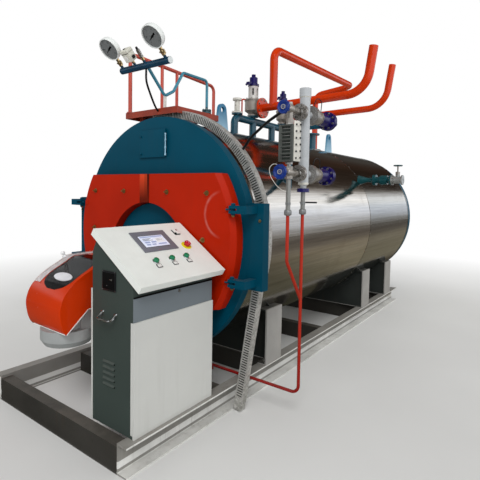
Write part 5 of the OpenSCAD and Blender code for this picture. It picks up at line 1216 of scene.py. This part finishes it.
def makeCocks(s):
    bm = bmesh.new()
    for level, wheelY, wheelR in s["levels"]:
        hub = Matrix.Translation((s["x"], s["y"], level))
        toward = Matrix.Rotation(math.pi / 2, 4, "X")     # z now looks to -Y
        branch = Matrix.Translation((s["x"], s["branch"], level)) @ toward
        turned(bm, branch, [(0, 0), (0.020, 0), (0.020, 0.040), (0.025, 0.042), (0.025, 0.062), (0.020, 0.064),
                            (0.020, 0.090), (0.029, 0.102), (0.032, 0.122), (0.032, 0.146), (0.026, 0.158),
                            (0.016, 0.164), (0, 0.164)], 0, 36)
        rod(bm, branch @ Matrix.Translation((0, 0, 0.042)), 0.028, 0.020, 0, 6)
        if level > 2.2:
            rod(bm, Matrix.Translation((s["x"], s["y"], 2.257)), 0.0215, 0.090, 0, 28)
            rod(bm, Matrix.Translation((s["x"], s["y"], 2.272)), 0.028, 0.030, 0, 6)
            rod(bm, hub, 0.020, 0.034, 0, 28)
            rod(bm, hub @ Matrix.Translation((0, 0, 0.030)), 0.016, 0.018, 1, 6)
        else:
            rod(bm, hub @ Matrix.Translation((0, 0, -0.044)), 0.022, 0.088, 0, 28)
            rod(bm, hub @ Matrix.Translation((0, 0, 0.016)), 0.028, 0.028, 0, 6)
            rod(bm, hub @ Matrix.Translation((0, 0, -0.046)), 0.028, 0.024, 0, 6)
        stem = Matrix.Translation((s["x"], s["y"] - 0.018, level)) @ toward
        far = s["y"] - 0.018 - wheelY
        rod(bm, stem, 0.0115, far - 0.006, 1, 20)
        rod(bm, stem @ Matrix.Translation((0, 0, 0.006)), 0.020, 0.018, 1, 6)
        rod(bm, stem @ Matrix.Translation((0, 0, far - 0.030)), 0.016, 0.016, 0, 6)
        wheel = Matrix.Translation((s["x"], wheelY, level)) @ toward
        r = wheelR
        turned(bm, wheel, [(0.0, -0.004), (r * 0.60, -0.005), (r * 0.78, -0.013), (r * 0.93, -0.012), (r, -0.005),
                           (r, 0.005), (r * 0.93, 0.012), (r * 0.78, 0.012), (r * 0.62, 0.005), (r * 0.36, 0.003),
                           (0.0, 0.003)], 2, 64)
        for k in range(10):     # finger dents seen as darker ribs
            m = wheel @ Matrix.Rotation(k * math.tau / 10, 4, "Z") @ Matrix.Translation((r * 0.97, 0, 0))
            rod(bm, m @ Matrix.Translation((0, 0, -0.008)), r * 0.085, 0.016, 2, 12)
        turned(bm, wheel @ Matrix.Translation((0, 0, 0.003)), [(0.0105, 0.004), (0.0125, 0.007), (0.0165, 0.007),
                                                              (0.0185, 0.0)], 3, 32)
        rod(bm, wheel @ Matrix.Translation((0, 0, 0.003)), 0.0105, 0.005, 2, 24)
        rod(bm, wheel @ Matrix.Translation((0, 0, 0.007)), 0.0055, 0.004, 1, 6)
    gland = place((s["x"] - 0.012, s["y"], 2.362), (-1, 0, 0))
    rod(bm, gland, 0.012, 0.0387, 3, 24)
    rod(bm, gland @ Matrix.Translation((0, 0, 0.014)), 0.017, 0.010, 3, 6)
    turned(bm, gland @ Matrix.Translation((0, 0, 0.026)), [(0.0, 0.0125), (0.0115, 0.0125), (0.0145, 0.008),
                                                          (0.0150, 0.0)], 3, 24)
    keep(bm, "gaugeCocks", ["castSteel", "steel", "wheelBlue", "silver"], ["level_cocks"])


makeCocks(cockSet)
print("gauge cocks made")

# ---- handle loops and seal wire on the level valves ----
bailSets = {"upperBail": [(1.362, 0.385, 2.436), (1.372, 0.392, 2.500), (1.374, 0.420, 2.517), (1.374, 0.462, 2.516),
                          (1.372, 0.494, 2.500), (1.366, 0.503, 2.462), (1.364, 0.500, 2.428)],
            "lowerBail": [(1.362, 0.385, 1.986), (1.372, 0.392, 2.034), (1.374, 0.420, 2.050), (1.374, 0.462, 2.049),
                          (1.372, 0.494, 2.034), (1.366, 0.503, 2.010), (1.364, 0.500, 1.978)],
            "sealWire": [(1.350, -0.085, 1.955), (1.330, -0.135, 1.975), (1.304, -0.150, 1.950), (1.304, -0.145, 1.905),
                         (1.322, -0.120, 1.850), (1.345, -0.060, 1.800), (1.360, -0.012, 1.785)]}


def wire(name, points, r, key, slotName):
    curve = bpy.data.curves.new(name, "CURVE")
    curve.dimensions = "3D"
    curve.bevel_depth, curve.bevel_resolution, curve.use_fill_caps = r, 3, True
    curve.resolution_u = 5
    line = curve.splines.new("BEZIER")
    line.bezier_points.add(len(points) - 1)
    for spot, at in zip(line.bezier_points, points):
        spot.co = at
        spot.handle_left_type = spot.handle_right_type = "AUTO"
    holder = bpy.data.objects.new(name, curve)
    bpy.context.collection.objects.link(holder)
    mesh = bpy.data.meshes.new_from_object(holder)
    bpy.data.objects.remove(holder)
    bm = bmesh.new()
    bm.from_mesh(mesh)
    bpy.data.meshes.remove(mesh)
    return keep(bm, name, [key])


wire("upperBail", bailSets["upperBail"], 0.0034, "blackPart", "valve_steel")
wire("lowerBail", bailSets["lowerBail"], 0.0034, "blackPart", "valve_steel")
wire("sealWire", bailSets["sealWire"], 0.0022, "spool", "valve_steel")
print("valve loops made")

# ---- console desk controls ----
deskSet = {"front": (0.918, -0.929, 1.190), "tilt": 34.063, "bezelAt": -0.505, "bezelY": 0.214, "bezel": (0.215, 0.321),
           "stop": (-0.310, 0.632), "buttons": [0.240, 0.388, 0.531], "buttonAt": -0.198, "label": (-0.505, 0.622), "big": 1.28}


def makeDesk(s):
    bm = bmesh.new()
    m = Matrix.Translation(s["front"]) @ Matrix.Rotation(math.radians(s["tilt"]), 4, "Y")
    a, b, w, d = s["bezelAt"], s["bezelY"], s["bezel"][0], s["bezel"][1]
    block(bm, m, (a, b, 0), (a + w, b + d, 0.0085), 0, 0.005, 3)
    block(bm, m, (a + 0.052, b + 0.034, 0.0082), (a + w - 0.040, b + d - 0.052, 0.0094), 1, 0.001)
    x0, y0, x1, y1 = a + 0.055, b + 0.038, a + w - 0.043, b + d - 0.056
    block(bm, m, (x0, y0, 0.0090), (x1, y1, 0.0100), 3)
    # plain fields and lines of a generic screen page
    for fx, fy, lx, ly, key in ((0.06, 0.05, 0.10, 0.90, 4), (0.24, 0.10, 0.03, 0.34, 5), (0.32, 0.10, 0.03, 0.26, 5),
                                (0.40, 0.10, 0.03, 0.38, 5), (0.52, 0.10, 0.14, 0.20, 4), (0.52, 0.36, 0.14, 0.20, 4),
                                (0.74, 0.10, 0.12, 0.16, 4), (0.74, 0.32, 0.12, 0.16, 4), (0.26, 0.58, 0.40, 0.34, 6),
                                (0.74, 0.58, 0.12, 0.34, 4), (0.30, 0.63, 0.02, 0.22, 5), (0.36, 0.63, 0.02, 0.16, 5),
                                (0.42, 0.63, 0.02, 0.24, 5), (0.48, 0.63, 0.02, 0.12, 5)):
        block(bm, m, (x0 + fx * (x1 - x0), y0 + fy * (y1 - y0), 0.0098),
              (x0 + (fx + lx) * (x1 - x0), y0 + (fy + ly) * (y1 - y0), 0.0103), key)
    for k in range(3):
        rod(bm, m @ Matrix.Translation((a + w - 0.008, b + 0.13 + k * 0.012, 0.008)), 0.0018, 0.0012, 8, 12)
    # emergency stop with its ring
    stop = m @ Matrix.Translation((*s["stop"], 0))
    k = s["big"]
    turned(bm, stop, [(0.014 * k, 0.0042), (0.030 * k, 0.0042), (0.032 * k, 0.003), (0.032 * k, 0.0)], 7, 48)
    number(bm, stop @ Matrix.Translation((0, 0.0240 * k, 0.0042)) @ Matrix.Rotation(math.pi / 2, 4, "Z"), "STOP",
           0.0085, 9)
    rod(bm, stop @ Matrix.Translation((0, 0, 0.004)), 0.0160 * k, 0.012, 8, 32)
    turned(bm, stop, [(0.010 * k, 0.012), (0.015 * k, 0.016), (0.0195 * k, 0.018), (0.0210 * k, 0.023),
                      (0.0205 * k, 0.0290), (0.016 * k, 0.0340), (0.008 * k, 0.0360), (0, 0.0364)], 8, 40)
    for i in range(3):
        turnBy = stop @ Matrix.Rotation(i * math.tau / 3, 4, "Z")
        block(bm, turnBy, (0.007, -0.0014, 0.0345), (0.015, 0.0014, 0.0366), 3)
    # three lit push buttons with tag frames below
    for y in s["buttons"]:
        spot = m @ Matrix.Translation((s["buttonAt"], y, 0))
        turned(bm, spot, [(0.0200, 0.0075), (0.0225, 0.0075), (0.0245, 0.005), (0.0245, 0.0)], 10, 40)
        turned(bm, spot, [(0.0205, 0.005), (0.0205, 0.017), (0.0190, 0.0215), (0.0150, 0.0250), (0.0080, 0.0265),
                          (0, 0.0268)], 11, 36)
        tag = m @ Matrix.Translation((s["buttonAt"] + 0.029, y - 0.021, 0))
        block(bm, tag, (0, 0, 0), (0.033, 0.042, 0.0040), 1, 0.001)
        block(bm, tag, (0.0045, 0.0045, 0.0034), (0.0285, 0.0375, 0.0050), 12, 0.0005)
    # key switch with a pale plate
    keyAt = m @ Matrix.Translation((*s["label"], 0))
    block(bm, keyAt, (0.004, 0.000, 0), (0.066, 0.056, 0.0030), 9, 0.0006)
    block(bm, keyAt, (0.000, 0.008, 0.0015), (0.040, 0.062, 0.0085), 12, 0.001)
    block(bm, keyAt, (0.036, 0.026, 0.0015), (0.058, 0.066, 0.0085), 12, 0.001)
    rod(bm, keyAt @ Matrix.Translation((0.020, 0.040, 0.0085)), 0.0080, 0.003, 10, 24)
    block(bm, keyAt @ Matrix.Translation((0.020, 0.040, 0.0115)), (-0.0012, -0.005, 0), (0.0012, 0.005, 0.0006), 9)
    # socket plate with screws, a cover flap and a latch
    block(bm, Matrix.Identity(4), (0.508, -0.935, 1.118), (0.650, -0.929, 1.249), 1, 0.002)
    block(bm, Matrix.Identity(4), (0.520, -0.9372, 1.130), (0.638, -0.9345, 1.237), 9, 0.002)
    rod(bm, place((0.617, -0.9368, 1.196), (0, -1, 0)), 0.007, 0.006, 10, 20)
    block(bm, Matrix.Identity(4), (0.596, -0.9440, 1.1935), (0.620, -0.9400, 1.1985), 10, 0.001)
    for x, z in ((0.514, 1.124), (0.644, 1.124), (0.514, 1.243), (0.644, 1.243), (0.560, 1.152)):
        dome(bm, place((x, -0.9368 if x == 0.560 else -0.935, z), (0, -1, 0)), 0.0034, 10, 14, 0.6)
    keep(bm, "deskControls", ["bezel", "blackPart", "darkSlot", "screen", "screenBlue", "ink", "screenPale", "stopYellow",
                              "stopRed", "ink", "chrome", "buttonGreen", "tag"],
         ["console_controls"])


makeDesk(deskSet)
print("desk controls made")

# ---- chrome handle on the console side ----
handleSet = {"x0": 0.510, "x1": 0.646, "z": 0.970, "drop": 0.036, "wall": -0.929, "reach": 0.044, "radius": 0.0084, "bend": 0.016}


def makeHandle(s):
    r, out, drop = s["radius"], s["wall"] - s["reach"], s["drop"]
    b, low = s["bend"], s["z"] - s["drop"]
    path = [(s["x0"], s["wall"], s["z"]), (s["x0"], out + b, low + drop * 0.3), (s["x0"] + 0.3 * b, out + 0.3 * b, low + 0.004),
            (s["x0"] + b, out, low), ((s["x0"] + s["x1"]) / 2, out, low), (s["x1"] - b, out, low),
            (s["x1"] - 0.3 * b, out + 0.3 * b, low + 0.004), (s["x1"], out + b, low + drop * 0.3), (s["x1"], s["wall"], s["z"])]
    wire("sideHandle", path, r, "chrome", "console_fittings")
    bm = bmesh.new()
    for x in (s["x0"], s["x1"]):
        turned(bm, place((x, s["wall"], s["z"]), (0, -1, 0)), [(0.0068, 0.008), (0.0105, 0.007), (0.0135, 0.003),
                                                             (0.0140, 0.0)], 0, 32)
    keep(bm, "handleRoses", ["chrome"])


makeHandle(handleSet)

# ---- console cabinet trim ----
cabinetSet = {"side": -0.929, "louvreX": (0.514, 0.640), "louvreZ": 0.490, "pitch": 0.038}


def makeCabinet(s):
    bm = bmesh.new()
    for face, out in ((-0.929, -1), (-0.179, 1)):
        for k in range(5):
            z = s["louvreZ"] + k * s["pitch"]
            x0, x1 = s["louvreX"]
            pts = [(x0, 0, z + 0.009), (x1, 0, z + 0.009), (x1 - 0.006, 0.0095 * out, z - 0.003),
                   (x0 + 0.006, 0.0095 * out, z - 0.003)]
            verts = [bm.verts.new((p[0], face + p[1], p[2])) for p in pts]
            f = bm.faces.new(verts)
            f.material_index = 0
            for a, c in ((0, 3), (1, 2)):
                low = bm.verts.new((verts[c].co.x, face, z - 0.003))
                bm.faces.new((verts[a], verts[c], low)).material_index = 0
            # near-black strip under each louvre: painted shadow of its opening
            block(bm, Matrix.Identity(4), (x0, min(face, face + 0.0006 * out), z - 0.009),
                  (x1, max(face, face + 0.0006 * out), z - 0.001), 2)
    # lock under the desk, gap line between band and panel, screws and a plinth
    lock = place((0.821, -0.530, 1.085), (1, 0, 0))
    turned(bm, lock, [(0, 0.007), (0.008, 0.007), (0.0105, 0.004), (0.011, 0)], 1, 28)
    block(bm, lock, (-0.0012, -0.005, 0.0065), (0.0012, 0.005, 0.0078), 2)
    block(bm, Matrix.Identity(4), (0.8205, -0.929, 1.1015), (0.8235, -0.179, 1.1120), 2)
    block(bm, Matrix.Identity(4), (0.8175, -0.9285, 0.2030), (0.8205, -0.1795, 0.2250), 2)
    for y0, y1 in ((-0.9302, -0.9288), (-0.1792, -0.1778)):
        block(bm, Matrix.Identity(4), (0.796, y0, 0.226), (0.8178, y1, 0.948), 3)
    for z in (0.30, 0.86):    # hinge pins on the right edge of the panel
        rod(bm, Matrix.Translation((0.826, -0.1755, z)), 0.0045, 0.060, 1, 16)
    for y in (-0.86, -0.25):
        for x in (0.41, 0.80):
            boltHead(bm, place((x, y, 0.203), (0, 0, 1)), 0.005, 1)
    desk = Matrix.Translation((0.918, -0.929, 1.190)) @ Matrix.Rotation(math.radians(34.063), 4, "Y")
    block(bm, desk, (-0.575, -0.010, -0.0535), (-0.010, 0.781, -0.0500), 2)
    keep(bm, "cabinetTrim", ["consoleDark", "steel", "ink", "creamPanel"])


makeCabinet(cabinetSet)
print("console trim made")

# ---- pressure switches on the header ----
switchSet = {"y": -0.13, "z": 2.858, "lean": 44}


def makeSwitches(s):
    bm = bmesh.new()
    lean = Matrix.Rotation(math.radians(s["lean"]), 4, "X")
    m = Matrix.Translation((-0.120, s["y"], s["z"])) @ lean
    rod(bm, m @ Matrix.Translation((0, 0, 0.048)), 0.014, 0.024, 1, 6)
    block(bm, m, (-0.048, -0.036, 0.071), (0.036, 0.036, 0.150), 0, 0.006, 3)
    block(bm, m, (-0.050, -0.038, 0.148), (0.038, 0.038, 0.179), 0, 0.007, 3)
    block(bm, m, (-0.046, -0.0385, 0.1465), (0.034, 0.0385, 0.1492), 3)
    block(bm, m, (-0.036, -0.0378, 0.088), (0.006, -0.0355, 0.130), 2, 0.001)
    block(bm, m, (0.036, -0.014, 0.088), (0.052, 0.014, 0.116), 3, 0.004)
    rod(bm, m @ Matrix.Translation((-0.020, 0, 0.178)), 0.009, 0.006, 3, 20)
    for x in (-0.038, 0.026):
        for y in (-0.026, 0.026):
            dome(bm, m @ Matrix.Translation((x, y, 0.179)), 0.0035, 1, 12, 0.5)
    m = Matrix.Translation((0.010, s["y"], s["z"])) @ lean
    rod(bm, m @ Matrix.Translation((0, 0, 0.048)), 0.014, 0.030, 1, 6)
    turned(bm, m, [(0, 0.078), (0.0168, 0.078), (0.0168, 0.090), (0.0155, 0.092), (0.0155, 0.110), (0.0168, 0.112),
                   (0.0168, 0.148), (0.012, 0.1495), (0, 0.1495)], 4, 32)
    turned(bm, m, [(0, 0.149), (0.0108, 0.149), (0.0108, 0.160), (0.0085, 0.172), (0, 0.172)], 3, 24)
    block(bm, m, (-0.0165, -0.007, 0.094), (0.0165, 0.007, 0.108), 4, 0.002)
    keep(bm, "pressureSwitches", ["box", "brass", "tag", "blackPart", "steel"], ["pressure_switch"])


makeSwitches(switchSet)
print("pressure switches made")

# ---- small trims of the fittings ----
trimSet = {"spool": (0, 1.198), "column": (1.362, 0.235)}


def makeTrims(s):
    bm = bmesh.new()
    x, y = s["spool"]
    for z in (2.682, 2.794):
        turned(bm, Matrix.Translation((x, y, z)), [(0.0302, 0.0), (0.034, 0.003), (0.034, 0.007), (0.0302, 0.010)], 0, 40)
    rod(bm, place((0, y - 0.0295, 2.745), (0, -1, 0)), 0.0075, 0.003, 1, 18)
    x, y = s["column"]
    # weld collars and cap ribs on the level column
    turned(bm, Matrix.Translation((x, y, 2.495)), [(0.0392, -0.006), (0.0425, -0.003), (0.0442, 0.002)], 0, 48)
    turned(bm, Matrix.Translation((x, y, 1.846)), [(0.0392, 0.010), (0.0405, 0.004), (0.0375, -0.006), (0.024, -0.012)],
           0, 48)
    for z in (1.922, 2.372):
        for yFlange, out in ((0.144, -1), (0.3503, 1)):
            m = place((x, yFlange, z), (0, out, 0))
            count, r, b = (8, 0.050, 0.0052) if out < 0 else (8, 0.0605, 0.0068)
            for spot in ring(m, count, r):
                boltHead(bm, spot, b, 1, b * 0.8)
        m = place((x, 0.144, z), (0, -1, 0))
        turned(bm, m, [(0.0275, 0.0), (0.030, 0.004), (0.0255, 0.010)], 1, 32)
        for yEdge in (0.610, 0.6585):
            for spot in ring(place((x, yEdge, z), (0, -1 if yEdge < 0.62 else 1, 0)), 8, 0.062):
                boltHead(bm, spot, 0.0072, 1, 0.006)
    # syphon and drain unions
    for z in (2.566, 2.612):
        for spot in ring(Matrix.Translation((0, 0.678, z)), 4, 0.034):
            boltHead(bm, spot if z > 2.6 else spot @ Matrix.Rotation(math.pi, 4, "X"), 0.0058, 1)
    for x2, y2 in ((1.362, 0.235), (1.362, 0.011)):
        turned(bm, Matrix.Translation((x2, y2, 1.635)), [(0.0172, 0.022), (0.024, 0.018), (0.0275, 0.012),
                                                        (0.0275, -0.012), (0.024, -0.018), (0.0130, -0.022)], 3, 32)
        turned(bm, Matrix.Translation((x2, y2, 1.700)), [(0.0172, 0.010), (0.0195, 0.008), (0.0195, -0.008),
                                                        (0.0172, -0.010)], 3, 28)
    # lever of the drain cock, shut
    lever = Matrix.Translation((1.362, 0.235, 1.706)) @ Matrix.Rotation(math.radians(36), 4, "Z")
    rod(bm, lever @ Matrix.Rotation(-math.pi / 2, 4, "X"), 0.0085, 0.036, 1, 16)
    rod(bm, lever @ Matrix.Translation((0, 0.026, 0)) @ Matrix.Rotation(-math.pi / 2, 4, "X"), 0.0075, 0.008, 1, 6)
    block(bm, lever, (-0.020, 0.028, -0.0045), (0.112, 0.032, 0.0045), 2, 0.0015)
    block(bm, lever, (0.024, 0.0262, -0.0062), (0.113, 0.0338, 0.0062), 2, 0.003)
    keep(bm, "fittingTrims", ["spool", "steel", "blackPart", "unionGrey"])


makeTrims(trimSet)
print("fitting trims made")

# ---- rear doors, flue ring and skid fixings ----
rearSet = {"back": 4.72, "axis": 1.385}


def makeRear(s):
    bm = bmesh.new()
    for x in (-0.330, 0.330):
        for side in (-1, 1):
            block(bm, Matrix.Translation((x + side * 0.19, s["back"] + 0.012, 1.065)), (-0.030, 0, -0.012),
                  (0.030, 0.016, 0.012), 0, 0.003)
        m = Matrix.Translation((x, s["back"] + 0.068, 1.065))
        rod(bm, m @ Matrix.Rotation(-math.pi / 2, 4, "X"), 0.022, 0.016, 1, 6)
        rod(bm, m @ Matrix.Rotation(-math.pi / 2, 4, "X") @ Matrix.Translation((0, 0, 0.014)), 0.010, 0.020, 1, 20)
    for i in range(36):
        a = (i + 0.5) * math.tau / 36
        spot = Vector((0.975 * math.cos(a), s["back"], s["axis"] + 0.975 * math.sin(a)))
        boltHead(bm, place(spot, (0, 1, 0)), 0.008, 1)
    # saddle clamps bolted through the beam flanges
    for y in (0.60, 0.78, 3.045, 3.225, 4.03, 4.21):
        for side in (-1, 1):
            boltHead(bm, place((side * 0.805, y, 0.219), (0, 0, 1)), 0.011, 1, 0.012)
    # weld beads where the saddle plates meet their beams
    for y0 in (0.560, 3.005, 3.990):
        for side in (-1, 1):
            for k in range(22):
                dome(bm, place((side * 0.8585, y0 + 0.006 + k * 0.0118, 0.203), (side * 0.7, 0, 0.7)), 0.0062, 2, 8, 0.6)
    keep(bm, "rearAndSkidFixings", ["blue", "steel", "skid"])


makeRear(rearSet)
print("rear and skid fixings made")
